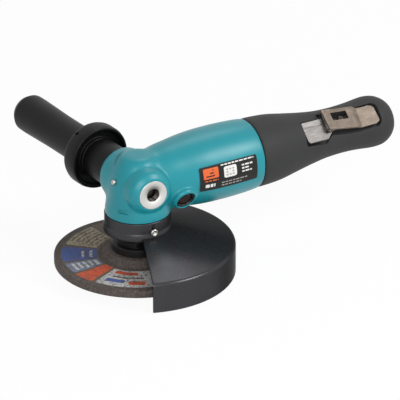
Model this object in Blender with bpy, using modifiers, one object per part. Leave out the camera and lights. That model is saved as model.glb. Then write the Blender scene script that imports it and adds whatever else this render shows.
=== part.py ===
"""Pneumatic angle grinder: a vane air motor drives a bevel gear pair and a guarded grinding wheel.

Sizes are in millimetres and degrees, and each mesh is made in metres. The origin is the centre of
the spindle's lower end face: +Z runs up the spindle, and +X runs along the motor to the air inlet.
"""

import math

import bmesh
import bpy
from mathutils import Matrix, Vector

MM = 0.001
FIT = 0.3          # gap between pieces that touch
WIDE_FIT = 0.5     # gap round pieces that turn
PRESS_FIT = 0.2    # gap round pieces that are pressed or screwed in
STEPS_GUARD = 40   # sides of turned pieces, from the largest to the smallest
STEPS_LARGE = 28
STEPS_MEDIUM = 20
STEPS_BUSH = 18
STEPS_SMALL = 14
STEPS_PIN = 12
STEPS_FINE = 10

# Motor axis and gear pair
AXIS_Z = 65.0
GEAR_TEETH = 22
PINION_TEETH = 11
GEAR_MODULE = 1.6
TOOTH_FACE = 6.5
TOOTH_SHARE = 0.33
ADDENDUM = 0.75
DEDENDUM = 1.15
GEAR_HUB_RADIUS = 11.0

# Grinding wheel and what clamps it
WHEEL_RADIUS = 62.5
WHEEL_THICKNESS = 6.2
WHEEL_FACE_Z = 0.0
WHEEL_BORE = 11.1
HUB_RISE = 5.3
HUB_RADIUS = 21.5
HUB_SLOPE_RADIUS = 27.5
FLANGE_RADIUS = 19.5
FLANGE_HEIGHT = 9.2
FLANGE_NECK_RADIUS = 15.0
FLANGE_FLAT = 12.5
FLANGE_PILOT = 4.5
NUT_RADIUS = 18.0
NUT_HEIGHT = 4.9
SPANNER_HOLE_RADIUS = 2.4
SPANNER_HOLE_CIRCLE = 13.0
HUB_TOP_Z = WHEEL_FACE_Z + WHEEL_THICKNESS + HUB_RISE
HUB_BOTTOM_Z = WHEEL_FACE_Z + HUB_RISE
FLANGE_Z = HUB_TOP_Z + FIT
FLANGE_TOP_Z = FLANGE_Z + FLANGE_HEIGHT

# Spindle and its bearings
SPINDLE_THREAD_RADIUS = 7.0
SPINDLE_SHOULDER_RADIUS = 10.0
SPINDLE_SEAT_RADIUS = 7.5
SPINDLE_TOP_RADIUS = 4.0
LOWER_BEARING_Z = 30.0
LOWER_BEARING_WIDTH = 11.0
LOWER_BEARING_RADIUS = 17.5
UPPER_BEARING_Z = AXIS_Z + 8.0
UPPER_BEARING_WIDTH = 7.0
UPPER_BEARING_RADIUS = 11.0

# Bearing cap and guard: the cap goes round the lower bearing, the guard round the cap and the wheel
CAP_THREAD_RADIUS = LOWER_BEARING_RADIUS + 2.8
CAP_RADIUS = LOWER_BEARING_RADIUS + 5.1
CAP_BOTTOM_Z = 27.4
CAP_THREAD_TOP_Z = 48.6
GUARD_RADIUS = WHEEL_RADIUS + 10.5
GUARD_SHEET = 2.0
GUARD_RIM_Z = -7.5
GUARD_FOLD_Z = 13.0
GUARD_CONE_Z = 30.6
GUARD_FOLD = 3.6
GUARD_TURN = -21.5
COLLAR_INNER = CAP_RADIUS + FIT
COLLAR_RADIUS = COLLAR_INNER + GUARD_SHEET
COLLAR_TOP_Z = 41.6
COLLAR_FLARE = 0.8
CLAMP_SCREW_ANGLE = -93.0
CLAMP_SCREW_Z = 34.6
CLAMP_SCREW_RADIUS = 1.7
CLAMP_HEAD_RADIUS = 2.8
CLAMP_HEAD_HEIGHT = 2.6
CLAMP_SOCKET_RADIUS = 1.5

# Gear head casting
HEAD_BOTTOM_Z = 42.0
HEAD_TOP_Z = AXIS_Z + 23.0
SKIRT_RADIUS = CAP_RADIUS + 1.9
STUB_RADIUS = 17.2
FAR_STUB_RADIUS = 20.4
BOSS_FACE = SKIRT_RADIUS + 1.5
STUB_RIM = BOSS_FACE - 3.6
BOSS_FACE_RADIUS = 11.8
FAR_FACE_RADIUS = 16.0
BOSS_SWEEP = 3.5
INSERT_RADIUS = 10.6
INSERT_START = BOSS_FACE - 5.8
INSERT_HOLE = 4.3
GEAR_CHAMBER_RADIUS = 19.4
PINION_BORE_RADIUS = 14.6
GREASE_ANGLE = 186.0
GREASE_Z = AXIS_Z + 5.8
GREASE_RADIUS = 2.0
GREASE_START = SKIRT_RADIUS - 6.5
GREASE_END = SKIRT_RADIUS - 1.3

# Motor: the bore and the liner's length set the size of the barrel
MOTOR_BORE = 23.3
MOTOR_BORE_X = 37.5
FRONT_PLATE_X = MOTOR_BORE_X + FIT
FRONT_PLATE_LENGTH = 9.6
FRONT_BEARING_RADIUS = 14.0
FRONT_BEARING_WIDTH = 8.0
ROTOR_SHAFT_RADIUS = 6.0
LINER_LENGTH = 37.0
LINER_RADIUS = MOTOR_BORE - FIT
LINER_OFFSET = 2.3
LINER_BORE = LINER_RADIUS - LINER_OFFSET - 1.0
ROTOR_RADIUS = LINER_BORE - LINER_OFFSET - 0.4
VANES = 5
VANE_THICKNESS = 2.0
VANE_DEPTH = 8.6
REAR_PLATE_LENGTH = 7.8
REAR_BEARING_RADIUS = 11.0
REAR_BEARING_WIDTH = 7.0
REAR_SHAFT_RADIUS = 4.0
FRONT_PLATE_END = FRONT_PLATE_X + FRONT_PLATE_LENGTH
LINER_X = FRONT_PLATE_END + FIT
LINER_END = LINER_X + LINER_LENGTH
REAR_PLATE_X = LINER_END + FIT
REAR_PLATE_END = REAR_PLATE_X + REAR_PLATE_LENGTH
SPIGOT_X = REAR_PLATE_END + 0.6
HOUSING_REAR_X = SPIGOT_X + 4.1
BARREL_RADIUS = MOTOR_BORE + 4.9
NECK_RADIUS = 22.0
BARREL_OUTSIDE = [   # radius and distance along the motor
    (NECK_RADIUS, 2.0),
    (NECK_RADIUS, 10.0),
    (NECK_RADIUS + 1.2, 15.0),
    (BARREL_RADIUS - 3.8, 21.0),
    (BARREL_RADIUS - 2.6, 30.0),
    (BARREL_RADIUS - 1.2, 40.0),
    (BARREL_RADIUS - 0.3, 50.0),
    (BARREL_RADIUS, 60.0),
    (BARREL_RADIUS, HOUSING_REAR_X - 25.5),
    (BARREL_RADIUS - 0.7, HOUSING_REAR_X - 9.5),
    (BARREL_RADIUS - 1.9, HOUSING_REAR_X),
]

# Spindle lock button, in a lobe under the barrel's front
BUTTON_X = 27.0
BUTTON_DROP = 25.0
BUTTON_RADIUS = 6.4
BUTTON_LOBE_RADIUS = 9.8
LOBE_FACE = BARREL_RADIUS - 0.4
BUTTON_FACE = LOBE_FACE - 1.6
BUTTON_SHOULDER = LOBE_FACE - 7.2
BUTTON_FLANGE = 2.2
BUTTON_SEAT = LOBE_FACE - 11.6
LOCK_PIN_RADIUS = 1.9
LOCK_COLLAR_RADIUS = 9.5
LOCK_COLLAR_END = BUTTON_X + LOCK_PIN_RADIUS + 2.4
LOCK_HOLES = 4

# Handle: its parts are set out from the grip's two ends
LEVER_ROLL = 38.0
GRIP_LENGTH = 121.2
GRIP_FRONT_X = HOUSING_REAR_X + FIT
GRIP_REAR_X = GRIP_FRONT_X + GRIP_LENGTH
GRIP_WAIST = 18.0
PIN_X = GRIP_REAR_X - 21.0
CORE_RADIUS = 13.0
CORE_NECK_RADIUS = 9.2
CORE_CONE_X = PIN_X - 72.0
CORE_STEP_X = PIN_X - 35.0
CORE_REAR_X = GRIP_REAR_X - 10.0
AIR_BORE = 5.5
INLET_HOLE = 5.6
INLET_FLANGE_RADIUS = 8.9
INLET_THREAD_RADIUS = 7.4
INLET_SEAT_X = GRIP_REAR_X - 21.0
SILENCER_RADIUS = 14.0
SILENCER_X = GRIP_REAR_X - 9.6
SILENCER_LENGTH = 4.0
SILENCER_END = SILENCER_X + SILENCER_LENGTH
EXHAUST_HOLES = 8
EXHAUST_HOLE_RADIUS = 1.1
EXHAUST_CIRCLE = 11.6
SLEEVE_OUTSIDE = [   # radius and distance along the motor
    (BARREL_RADIUS - 2.4, GRIP_FRONT_X),
    (BARREL_RADIUS - 2.0, GRIP_FRONT_X + 5.2),
    (BARREL_RADIUS - 2.9, GRIP_FRONT_X + 19.2),
    (GRIP_WAIST + 4.7, GRIP_FRONT_X + 33.2),
    (GRIP_WAIST + 2.2, GRIP_FRONT_X + 47.2),
    (GRIP_WAIST + 0.5, GRIP_FRONT_X + 60.2),
    (GRIP_WAIST, GRIP_REAR_X - 47.0),
    (GRIP_WAIST + 0.6, GRIP_REAR_X - 33.0),
    (GRIP_WAIST + 1.7, GRIP_REAR_X - 22.0),
    (GRIP_WAIST + 1.9, GRIP_REAR_X - 16.0),
    (GRIP_WAIST + 0.9, GRIP_REAR_X - 10.0),
    (GRIP_WAIST - 1.6, GRIP_REAR_X - 5.0),
    (GRIP_WAIST - 4.8, GRIP_REAR_X - 1.4),
    (GRIP_WAIST - 7.4, GRIP_REAR_X),
    (INLET_FLANGE_RADIUS + FIT, GRIP_REAR_X),
]

# Throttle lever, hinged at its rear
PIN_HEIGHT = 14.8
LEVER_WIDTH = 17.0
LEVER_SHEET = 1.6
LEVER_LENGTH = 43.6
LEVER_FRONT_RISE = 10.4
LEVER_JOGGLE = 16.0
LEVER_REAR = -4.5
LEVER_REAR_RISE = 4.1
LEVER_PIN_RADIUS = 1.25
EAR_RADIUS = 2.5
BRACKET_HALF_WIDTH = 4.6
BRACKET_HALF_LENGTH = 3.6
WINDOW_START = 22.0
WINDOW_LENGTH = 15.0
WINDOW_WIDTH = 6.6
WINDOW_OFFSET = 1.5
POCKET_FLOOR = 12.0
PAD_POCKET_FLOOR = 10.4
POCKET_MARGIN = 1.2

# Lock-off lever, hinged under the throttle lever's front
LOCKOFF_REACH = 41.6
LOCKOFF_RISE = 5.9
LOCKOFF_PIN_RADIUS = 1.1
LOCKOFF_NEAR = 13.0
LOCKOFF_FAR = 3.6
LOCKOFF_FOLD = 0.8
LOCKOFF_SLANT = 1.2
LOCKOFF_TAIL = 3.0
LOCKOFF_NOSE = 20.0
LOCKOFF_SHEET = 1.5
KNUCKLE_RADIUS = 2.2
KNUCKLE_END = 6.6
KNUCKLE_START = 3.4
LOCKOFF_EAR_RADIUS = 2.3

# Throttle valve under the lever
VALVE_REACH = 28.0
STEM_RADIUS = 2.5
VALVE_HEAD_RADIUS = 4.2
VALVE_HEAD_TOP = -3.0
VALVE_HEAD_HEIGHT = 3.0
VALVE_CAP_TOP = -10.6
VALVE_CAP_RADIUS = 4.9

# Coil springs: radius to the wire's centre, radius of the wire, and turns
BUTTON_SPRING = (3.6, 0.32, 3)
LOCKOFF_SPRING = (LOCKOFF_PIN_RADIUS + 0.65, 0.35, 4)
VALVE_SPRING = (3.0, 0.35, 3)

# Side handle
SIDE_COLLAR_RADIUS = 15.5
SIDE_COLLAR_END = BOSS_FACE + 24.4
SIDE_FLANGE_START = SIDE_COLLAR_END + 4.6
SIDE_FLANGE_RADIUS = 26.0
SIDE_FLANGE_LENGTH = 12.0
SIDE_GRIP_RADIUS = 13.9
SIDE_GRIP_END_RADIUS = 14.6
SIDE_END = BOSS_FACE + 126.0
SIDE_END_ROUND = 9.0
STUD_RADIUS = 4.0
STUD_HEAD_RADIUS = 7.0
STUD_HEAD_START = SIDE_END - 68.0
STUD_HEAD_END = SIDE_END - 60.0


def lever_top(reach):
    """Height of the throttle lever's top face over its pin, at a distance forward of the pin."""
    rear_end = LEVER_JOGGLE - 2
    front_start = LEVER_JOGGLE + 2
    step_rise = LEVER_REAR_RISE + LEVER_SHEET
    if reach <= rear_end:
        return LEVER_REAR_RISE
    if reach <= front_start:
        return LEVER_REAR_RISE + LEVER_SHEET * (reach - rear_end) / (front_start - rear_end)
    share = (reach - front_start) / (LEVER_LENGTH - front_start)
    return step_rise + (LEVER_FRONT_RISE - step_rise) * share


# Scene and collections

for old in list(bpy.data.objects):
    bpy.data.objects.remove(old)

GRINDER = bpy.data.collections.new("angle_grinder")
CUTTERS = bpy.data.collections.new("cutters")
for made in (GRINDER, CUTTERS):
    bpy.context.scene.collection.children.link(made)


def material(name, colour, roughness, metallic=0.0):
    made = bpy.data.materials.new(name)
    made.use_nodes = True
    shader = made.node_tree.nodes["Principled BSDF"]
    shader.inputs["Base Color"].default_value = (*colour, 1)
    shader.inputs["Roughness"].default_value = roughness
    shader.inputs["Metallic"].default_value = metallic
    return made


TEAL = material("teal_enamel", (0.020, 0.260, 0.290), 0.35)
RUBBER = material("black_rubber", (0.030, 0.030, 0.031), 0.7)
GUARD_PAINT = material("black_powder_coat", (0.028, 0.029, 0.031), 0.45)
STEEL = material("bright_steel", (0.62, 0.60, 0.58), 0.3, 1.0)
DARK_STEEL = material("black_oxide_steel", (0.05, 0.05, 0.052), 0.45, 1.0)
NICKEL = material("nickel_plate", (0.66, 0.58, 0.50), 0.28, 1.0)
ALUMINIUM = material("machined_aluminium", (0.80, 0.80, 0.80), 0.35, 1.0)
ABRASIVE = material("bonded_abrasive", (0.085, 0.072, 0.064), 0.9)
BRASS = material("brass", (0.62, 0.44, 0.18), 0.35, 1.0)
PHENOLIC = material("phenolic_vane", (0.17, 0.08, 0.04), 0.6)
FELT = material("grey_felt", (0.30, 0.30, 0.30), 0.95)


# Frames: a local frame's Z is the axis that a turned piece spins on

UPRIGHT = Matrix.Identity(4)
MOTOR = Matrix.Translation((0, 0, AXIS_Z * MM)) @ Matrix.Rotation(math.pi / 2, 4, "Y")
HANDLE = Matrix.Translation((0, 0, AXIS_Z * MM)) @ Matrix.Rotation(math.radians(LEVER_ROLL), 4, "X")


def pointing(direction, start):
    """A frame at start, in millimetres, whose Z points along direction."""
    turn = Vector(direction).to_track_quat("Z", "Y").to_matrix().to_4x4()
    return Matrix.Translation(Vector(start) * MM) @ turn


def side_frame(side):
    """The frame of a side handle boss: side is 1 on the far side and -1 on the near side."""
    sweep = math.radians(BOSS_SWEEP)
    return pointing((-math.sin(sweep), side * math.cos(sweep), 0), (0, 0, AXIS_Z))


def button_frame():
    drop = math.radians(BUTTON_DROP)
    return pointing((0, -math.cos(drop), -math.sin(drop)), (BUTTON_X, 0, AXIS_Z))


def in_handle(x, lateral, height):
    return HANDLE @ Matrix.Translation(Vector((x, lateral, height)) * MM)


def cross_pin(x, height):
    """A frame across the handle: its Z runs along the lever's pins."""
    return in_handle(x, 0, height) @ Matrix.Rotation(-math.pi / 2, 4, "X")


# Makers of solids

def finish(name, mesh, frame, finish_material):
    """An object for one sub-part, with smooth sides and sharp edges."""
    obj = bpy.data.objects.new(name, mesh)
    obj.matrix_world = frame
    GRINDER.objects.link(obj)
    if finish_material:
        mesh.materials.append(finish_material)
    mesh.shade_smooth()
    mesh.set_sharp_from_angle(angle=math.radians(35))
    return obj


def turned(name, profile, frame=UPRIGHT, finish_material=None, steps=STEPS_SMALL):
    """A profile of (radius, height) points turned about the frame's Z.
    It makes a ring if no point is on the axis."""
    area = sum(a[0] * b[1] - b[0] * a[1] for a, b in zip(profile, profile[1:] + profile[:1]))
    points = profile if area < 0 else profile[::-1]
    ring = min(radius for radius, height in points) > 0
    if not ring:
        first = next(i for i, p in enumerate(points) if p[0] == 0 and points[i - 1][0] == 0)
        points = points[first:] + points[:first]
    mesh = bpy.data.meshes.new(name)
    edges = [(i, i + 1) for i in range(len(points) - 1)]
    if ring:
        edges.append((len(points) - 1, 0))
    mesh.from_pydata([(radius * MM, 0, height * MM) for radius, height in points], edges, [])
    obj = finish(name, mesh, frame, finish_material)
    screw = obj.modifiers.new("turn", "SCREW")
    screw.steps = screw.render_steps = steps
    screw.use_merge_vertices = True
    screw.merge_threshold = 0.00001
    return obj


def tube(name, inner, outer, start, end, frame=UPRIGHT, finish_material=None, steps=STEPS_SMALL):
    return turned(name, [(outer, end), (outer, start), (inner, start), (inner, end)],
                  frame, finish_material, steps)


def rod(name, radius, start, end, frame=UPRIGHT, finish_material=None, steps=STEPS_SMALL):
    return turned(name, [(0, end), (radius, end), (radius, start), (0, start)],
                  frame, finish_material, steps)


def prism(name, outline, low, high, frame, finish_material=None):
    """A flat outline in the frame's X and Y, thick from low to high along its Z."""
    shape = bmesh.new()
    face = shape.faces.new([shape.verts.new((x * MM, y * MM, low * MM)) for x, y in outline])
    made = bmesh.ops.extrude_face_region(shape, geom=[face])
    moved = [v for v in made["geom"] if isinstance(v, bmesh.types.BMVert)]
    bmesh.ops.translate(shape, verts=moved, vec=(0, 0, (high - low) * MM))
    bmesh.ops.recalc_face_normals(shape, faces=shape.faces)
    mesh = bpy.data.meshes.new(name)
    shape.to_mesh(mesh)
    shape.free()
    return finish(name, mesh, frame, finish_material)


def block(name, low, high, frame, finish_material=None):
    """A box between two corners in the frame."""
    outline = [(low[0], low[1]), (high[0], low[1]), (high[0], high[1]), (low[0], high[1])]
    return prism(name, outline, low[2], high[2], frame, finish_material)


def helix(name, coil, length, frame):
    """A coil spring along the frame's Z, as one tube. The gap between its turns is measured on its points."""
    radius, wire, turns = coil
    per_turn = 9
    count = turns * per_turn
    points = []
    for i in range(count + 1):
        angle = 2 * math.pi * i / per_turn
        rise = wire + (length - 2 * wire) * i / count
        points.append(Vector((radius * math.cos(angle), radius * math.sin(angle), rise)))
    pairs = [(a, b) for i, a in enumerate(points) for b in points[i + per_turn - 2:]]
    gap = min((a - b).length for a, b in pairs) - 2 * wire
    print(name, "least gap between turns", round(gap, 2), "mm")
    curve = bpy.data.curves.new(name, "CURVE")
    curve.dimensions = "3D"
    curve.bevel_depth = wire * MM
    curve.bevel_resolution = 1
    curve.use_fill_caps = True
    spline = curve.splines.new("POLY")
    spline.points.add(count)
    for spot, point in zip(spline.points, points):
        spot.co = (*(point * MM), 1)
    curve.materials.append(STEEL)
    obj = bpy.data.objects.new(name, curve)
    obj.matrix_world = frame
    GRINDER.objects.link(obj)
    return obj


def combine(target, tool, operation):
    for collection in tool.users_collection:
        collection.objects.unlink(tool)
    CUTTERS.objects.link(tool)
    tool.hide_render = True
    tool.display_type = "WIRE"
    modifier = target.modifiers.new(f"{operation.lower()}_{tool.name}", "BOOLEAN")
    modifier.operation = operation
    modifier.object = tool
    return target


def cut(target, *tools):
    for tool in tools:
        combine(target, tool, "DIFFERENCE")
    return target


def join(target, *tools):
    for tool in tools:
        combine(target, tool, "UNION")
    return target


def arc(centre, radius, start, end, count):
    """Points on an arc about centre, from start to end in degrees."""
    angles = [math.radians(start + (end - start) * i / count) for i in range(count + 1)]
    return [(centre[0] + radius * math.cos(a), centre[1] + radius * math.sin(a)) for a in angles]


def bearing(name, bore, outer, start, width, frame):
    """A shielded ball bearing: the outer race with its shields, and the inner race."""
    split = bore + 0.38 * (outer - bore)
    tube(f"{name}_outer", split + 0.4, outer - 0.1, start, start + width, frame, STEEL)
    tube(f"{name}_inner", bore + 0.2, split, start, start + width, frame, STEEL)


# Bevel gear pair: straight teeth on two pitch cones that share an apex on the spindle axis

GEAR_RADIUS = GEAR_TEETH * GEAR_MODULE / 2
PINION_RADIUS = PINION_TEETH * GEAR_MODULE / 2
CONE_LENGTH = math.hypot(GEAR_RADIUS, PINION_RADIUS)
TOOTH_SMALL_END = 1 - TOOTH_FACE / CONE_LENGTH


def on_cone(pitch_radius, share, rise):
    """(radius, distance from the apex) of a point raised over a pitch cone, at a share of its length."""
    slope = math.asin(pitch_radius / CONE_LENGTH)
    along = CONE_LENGTH * share
    lift = rise * GEAR_MODULE * share
    return (along * math.sin(slope) + lift * math.cos(slope),
            along * math.cos(slope) - lift * math.sin(slope))


def bevel_teeth(name, pitch_radius, teeth, phase, frame):
    """Separate wedge-shaped teeth, rooted a little inside the gear's body."""
    shape = bmesh.new()
    pitch_angle = 2 * math.pi / teeth
    root = -(DEDENDUM + 0.45)
    for tooth in range(teeth):
        middle = (tooth + phase) * pitch_angle
        corners = []
        for share in (TOOTH_SMALL_END, 1.0):
            for rise, width in ((root, 1.35), (ADDENDUM, 0.6)):
                radius, distance = on_cone(pitch_radius, share, rise)
                half = pitch_angle * TOOTH_SHARE / 2 * width
                for side in (-1, 1):
                    angle = middle + side * half
                    corners.append(shape.verts.new((radius * math.cos(angle) * MM,
                                                    radius * math.sin(angle) * MM, distance * MM)))
        bmesh.ops.convex_hull(shape, input=corners)
    bmesh.ops.recalc_face_normals(shape, faces=shape.faces)
    mesh = bpy.data.meshes.new(name)
    shape.to_mesh(mesh)
    shape.free()
    return finish(name, mesh, frame, None)


def build_gear_pair():
    """The gear hangs below the apex on the spindle. The pinion lies behind it on the rotor shaft."""
    down = pointing((0, 0, -1), (0, 0, AXIS_Z))
    front, back = [on_cone(GEAR_RADIUS, share, -DEDENDUM) for share in (TOOTH_SMALL_END, 1)]
    hub_end = AXIS_Z - (LOWER_BEARING_Z + LOWER_BEARING_WIDTH) - FIT
    bore = SPINDLE_SEAT_RADIUS + 0.15
    gear = turned("bevel_gear", [
        (bore, front[1]), front, back, (back[0] - 1.2, back[1] + 1.6),
        (GEAR_HUB_RADIUS, back[1] + 2.2), (GEAR_HUB_RADIUS, hub_end), (bore, hub_end),
    ], down, DARK_STEEL)
    join(gear, bevel_teeth("gear_teeth", GEAR_RADIUS, GEAR_TEETH, 0.5, down))
    front, back = [on_cone(PINION_RADIUS, share, -DEDENDUM) for share in (TOOTH_SMALL_END, 1)]
    bore = ROTOR_SHAFT_RADIUS - 2
    pinion = turned("bevel_pinion", [
        (bore, front[1]), front, back, (LOCK_COLLAR_RADIUS, back[1] + 2.5),
        (LOCK_COLLAR_RADIUS, LOCK_COLLAR_END), (bore, LOCK_COLLAR_END),
    ], MOTOR, DARK_STEEL)
    join(pinion, bevel_teeth("pinion_teeth", PINION_RADIUS, PINION_TEETH, 0, MOTOR))
    axis = Matrix.Translation((0, 0, AXIS_Z * MM))
    for hole in range(LOCK_HOLES // 2):
        turn = Matrix.Rotation(2 * math.pi * hole / LOCK_HOLES, 4, "X")
        across = axis @ turn @ axis.inverted() @ button_frame()
        for side in (-1, 1):
            start, end = sorted((side * (bore + 1.4), side * (LOCK_COLLAR_RADIUS + 2)))
            cut(pinion, rod(f"lock_hole_{hole}_{side}", LOCK_PIN_RADIUS + WIDE_FIT, start, end,
                            across, steps=STEPS_FINE))


# Spindle, wheel and clamping pieces

GEAR_TOP_Z = AXIS_Z - on_cone(GEAR_RADIUS, TOOTH_SMALL_END, -DEDENDUM)[1]


def build_spindle():
    shoulder = FLANGE_TOP_Z + FIT
    bearing_bottom = LOWER_BEARING_Z - FIT
    neck = SPINDLE_TOP_RADIUS + 1.8
    neck_top = UPPER_BEARING_Z - FIT
    top = UPPER_BEARING_Z + UPPER_BEARING_WIDTH
    turned("spindle", [
        (0, top), (SPINDLE_TOP_RADIUS, top), (SPINDLE_TOP_RADIUS, neck_top), (neck, neck_top),
        (neck, GEAR_TOP_Z + 1.5), (SPINDLE_SEAT_RADIUS, GEAR_TOP_Z + 0.6),
        (SPINDLE_SEAT_RADIUS, bearing_bottom), (SPINDLE_SHOULDER_RADIUS, bearing_bottom),
        (SPINDLE_SHOULDER_RADIUS, shoulder), (SPINDLE_THREAD_RADIUS, shoulder),
        (SPINDLE_THREAD_RADIUS, 0.8), (SPINDLE_THREAD_RADIUS - 0.8, 0), (0, 0),
    ], UPRIGHT, STEEL)
    bearing("lower_bearing", SPINDLE_SEAT_RADIUS, LOWER_BEARING_RADIUS, LOWER_BEARING_Z,
            LOWER_BEARING_WIDTH, UPRIGHT)
    bearing("upper_bearing", SPINDLE_TOP_RADIUS, UPPER_BEARING_RADIUS, UPPER_BEARING_Z,
            UPPER_BEARING_WIDTH, UPRIGHT)


def build_wheel():
    rim_top = WHEEL_FACE_Z + WHEEL_THICKNESS
    turned("grinding_wheel", [
        (WHEEL_BORE, HUB_TOP_Z), (HUB_RADIUS, HUB_TOP_Z), (HUB_RADIUS + 1.6, HUB_TOP_Z - 0.7),
        (HUB_SLOPE_RADIUS - 1.4, rim_top + 0.7), (HUB_SLOPE_RADIUS, rim_top),
        (WHEEL_RADIUS - 0.5, rim_top), (WHEEL_RADIUS, rim_top - 0.5), (WHEEL_RADIUS, WHEEL_FACE_Z + 0.5),
        (WHEEL_RADIUS - 0.5, WHEEL_FACE_Z), (HUB_SLOPE_RADIUS + 2.5, WHEEL_FACE_Z),
        (HUB_RADIUS + 3.5, HUB_BOTTOM_Z), (WHEEL_BORE, HUB_BOTTOM_Z),
    ], UPRIGHT, ABRASIVE, STEPS_LARGE)
    build_wheel_flange()
    build_flange_nut()


def build_wheel_flange():
    """The flange's pilot centres the wheel, and its neck has two wrench flats."""
    pilot = WHEEL_BORE - FIT
    pilot_end = FLANGE_Z - FLANGE_PILOT
    neck_z = FLANGE_Z + FLANGE_HEIGHT * 0.62
    bore = SPINDLE_THREAD_RADIUS + PRESS_FIT
    flange = turned("wheel_flange", [
        (bore, FLANGE_TOP_Z), (FLANGE_NECK_RADIUS, FLANGE_TOP_Z), (FLANGE_NECK_RADIUS, neck_z),
        (FLANGE_RADIUS - 0.6, neck_z), (FLANGE_RADIUS, neck_z - 0.6), (FLANGE_RADIUS, FLANGE_Z),
        (pilot, FLANGE_Z), (pilot, pilot_end), (bore, pilot_end),
    ], UPRIGHT, DARK_STEEL, STEPS_BUSH)
    reach = FLANGE_RADIUS + 1
    for side in (-1, 1):
        low, high = sorted((side * FLANGE_FLAT, side * (FLANGE_NECK_RADIUS + 1)))
        cut(flange, block(f"wrench_flat_{side}", (-reach, low, neck_z + 0.2), (reach, high, FLANGE_TOP_Z + 1),
                          UPRIGHT))


def build_flange_nut():
    top = HUB_BOTTOM_Z - FIT
    bottom = top - NUT_HEIGHT
    bore = SPINDLE_THREAD_RADIUS + PRESS_FIT
    nut = tube("flange_nut", bore, NUT_RADIUS, bottom, top, UPRIGHT, DARK_STEEL, STEPS_BUSH)
    for side in (-1, 1):
        spot = Matrix.Translation((side * SPANNER_HOLE_CIRCLE * MM, 0, 0))
        cut(nut, rod(f"spanner_hole_{side}", SPANNER_HOLE_RADIUS, bottom - 1, top - 1.2, spot,
                     steps=STEPS_FINE))


# Housing: one casting for the gear head and the motor barrel, with a boss on each side

def build_housing():
    housing = turned("motor_housing", [
        (0, HEAD_TOP_Z), (SKIRT_RADIUS - 13.8, HEAD_TOP_Z), (SKIRT_RADIUS - 10.3, HEAD_TOP_Z - 1.9),
        (SKIRT_RADIUS - 6.3, HEAD_TOP_Z - 5.0), (SKIRT_RADIUS - 3.7, HEAD_TOP_Z - 9.5),
        (SKIRT_RADIUS - 2.6, AXIS_Z + 8), (SKIRT_RADIUS - 2.3, AXIS_Z), (SKIRT_RADIUS - 2.0, AXIS_Z - 8),
        (SKIRT_RADIUS - 0.9, AXIS_Z - 15),
        (SKIRT_RADIUS, AXIS_Z - 19), (SKIRT_RADIUS, HEAD_BOTTOM_Z - 3), (0, HEAD_BOTTOM_Z - 3),
    ], UPRIGHT, TEAL, STEPS_LARGE)
    barrel = [(0, BARREL_OUTSIDE[0][1]), *BARREL_OUTSIDE, (0, HOUSING_REAR_X)]
    join(housing, turned("motor_barrel", barrel, MOTOR, None, STEPS_LARGE))
    boss_end = BOSS_FACE - 0.4
    for side, face, stub in ((-1, BOSS_FACE_RADIUS, STUB_RADIUS), (1, FAR_FACE_RADIUS, FAR_STUB_RADIUS)):
        join(housing, turned(f"side_boss_{side}", [
            (0, boss_end), (face, boss_end), (face + 0.6, boss_end - 0.5),
            (stub - 1.0, STUB_RIM), (stub, STUB_RIM - 1.4), (stub, 1.0), (0, 1.0),
        ], side_frame(side), None, STEPS_MEDIUM))
    lobe_start = PINION_BORE_RADIUS + 1.5
    join(housing, turned("button_lobe", [
        (0, LOBE_FACE), (BUTTON_LOBE_RADIUS - 1.2, LOBE_FACE), (BUTTON_LOBE_RADIUS, LOBE_FACE - 1.4),
        (BUTTON_LOBE_RADIUS, lobe_start), (0, lobe_start),
    ], button_frame(), None, STEPS_BUSH))
    cut_gear_room(housing)
    cut(housing, turned("motor_bore", [
        (0, 3.0), (PINION_BORE_RADIUS, 3.0), (PINION_BORE_RADIUS, MOTOR_BORE_X), (MOTOR_BORE, MOTOR_BORE_X),
        (MOTOR_BORE, HOUSING_REAR_X + 3), (0, HOUSING_REAR_X + 3),
    ], MOTOR, None, STEPS_MEDIUM))
    button_bore = BUTTON_RADIUS + WIDE_FIT
    pin_bore = LOCK_PIN_RADIUS + FIT
    cut(housing, turned("button_bore", [
        (0, LOBE_FACE + 3), (button_bore, LOBE_FACE + 3), (button_bore, BUTTON_SEAT), (pin_bore, BUTTON_SEAT),
        (pin_bore, 8), (0, 8),
    ], button_frame(), None, STEPS_SMALL))
    for side, name in ((-1, "near"), (1, "far")):
        build_insert(housing, side, name)
    build_grease_fitting(housing)


def cut_gear_room(housing):
    """The room for the gears and the upper bearing, the cap's thread, and the flat over the guard."""
    pocket = UPPER_BEARING_RADIUS + PRESS_FIT
    pocket_top = UPPER_BEARING_Z + UPPER_BEARING_WIDTH + FIT
    pocket_bottom = UPPER_BEARING_Z - 1.5
    throat = pocket - 1.8
    thread = CAP_THREAD_RADIUS + FIT
    thread_top = CAP_THREAD_TOP_Z + 0.5
    below = HEAD_BOTTOM_Z - 8
    cut(housing, turned("gear_chamber", [
        (0, pocket_top), (pocket, pocket_top), (pocket, pocket_bottom), (throat, pocket_bottom),
        (throat, AXIS_Z), (GEAR_CHAMBER_RADIUS, AXIS_Z - 3.2), (GEAR_CHAMBER_RADIUS, thread_top),
        (thread, thread_top), (thread, below), (0, below),
    ], UPRIGHT, None, STEPS_MEDIUM))
    cut(housing, rod("collar_room", COLLAR_RADIUS + 0.6, HEAD_BOTTOM_Z - 12, HEAD_BOTTOM_Z, UPRIGHT, None,
                     STEPS_MEDIUM))


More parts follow.
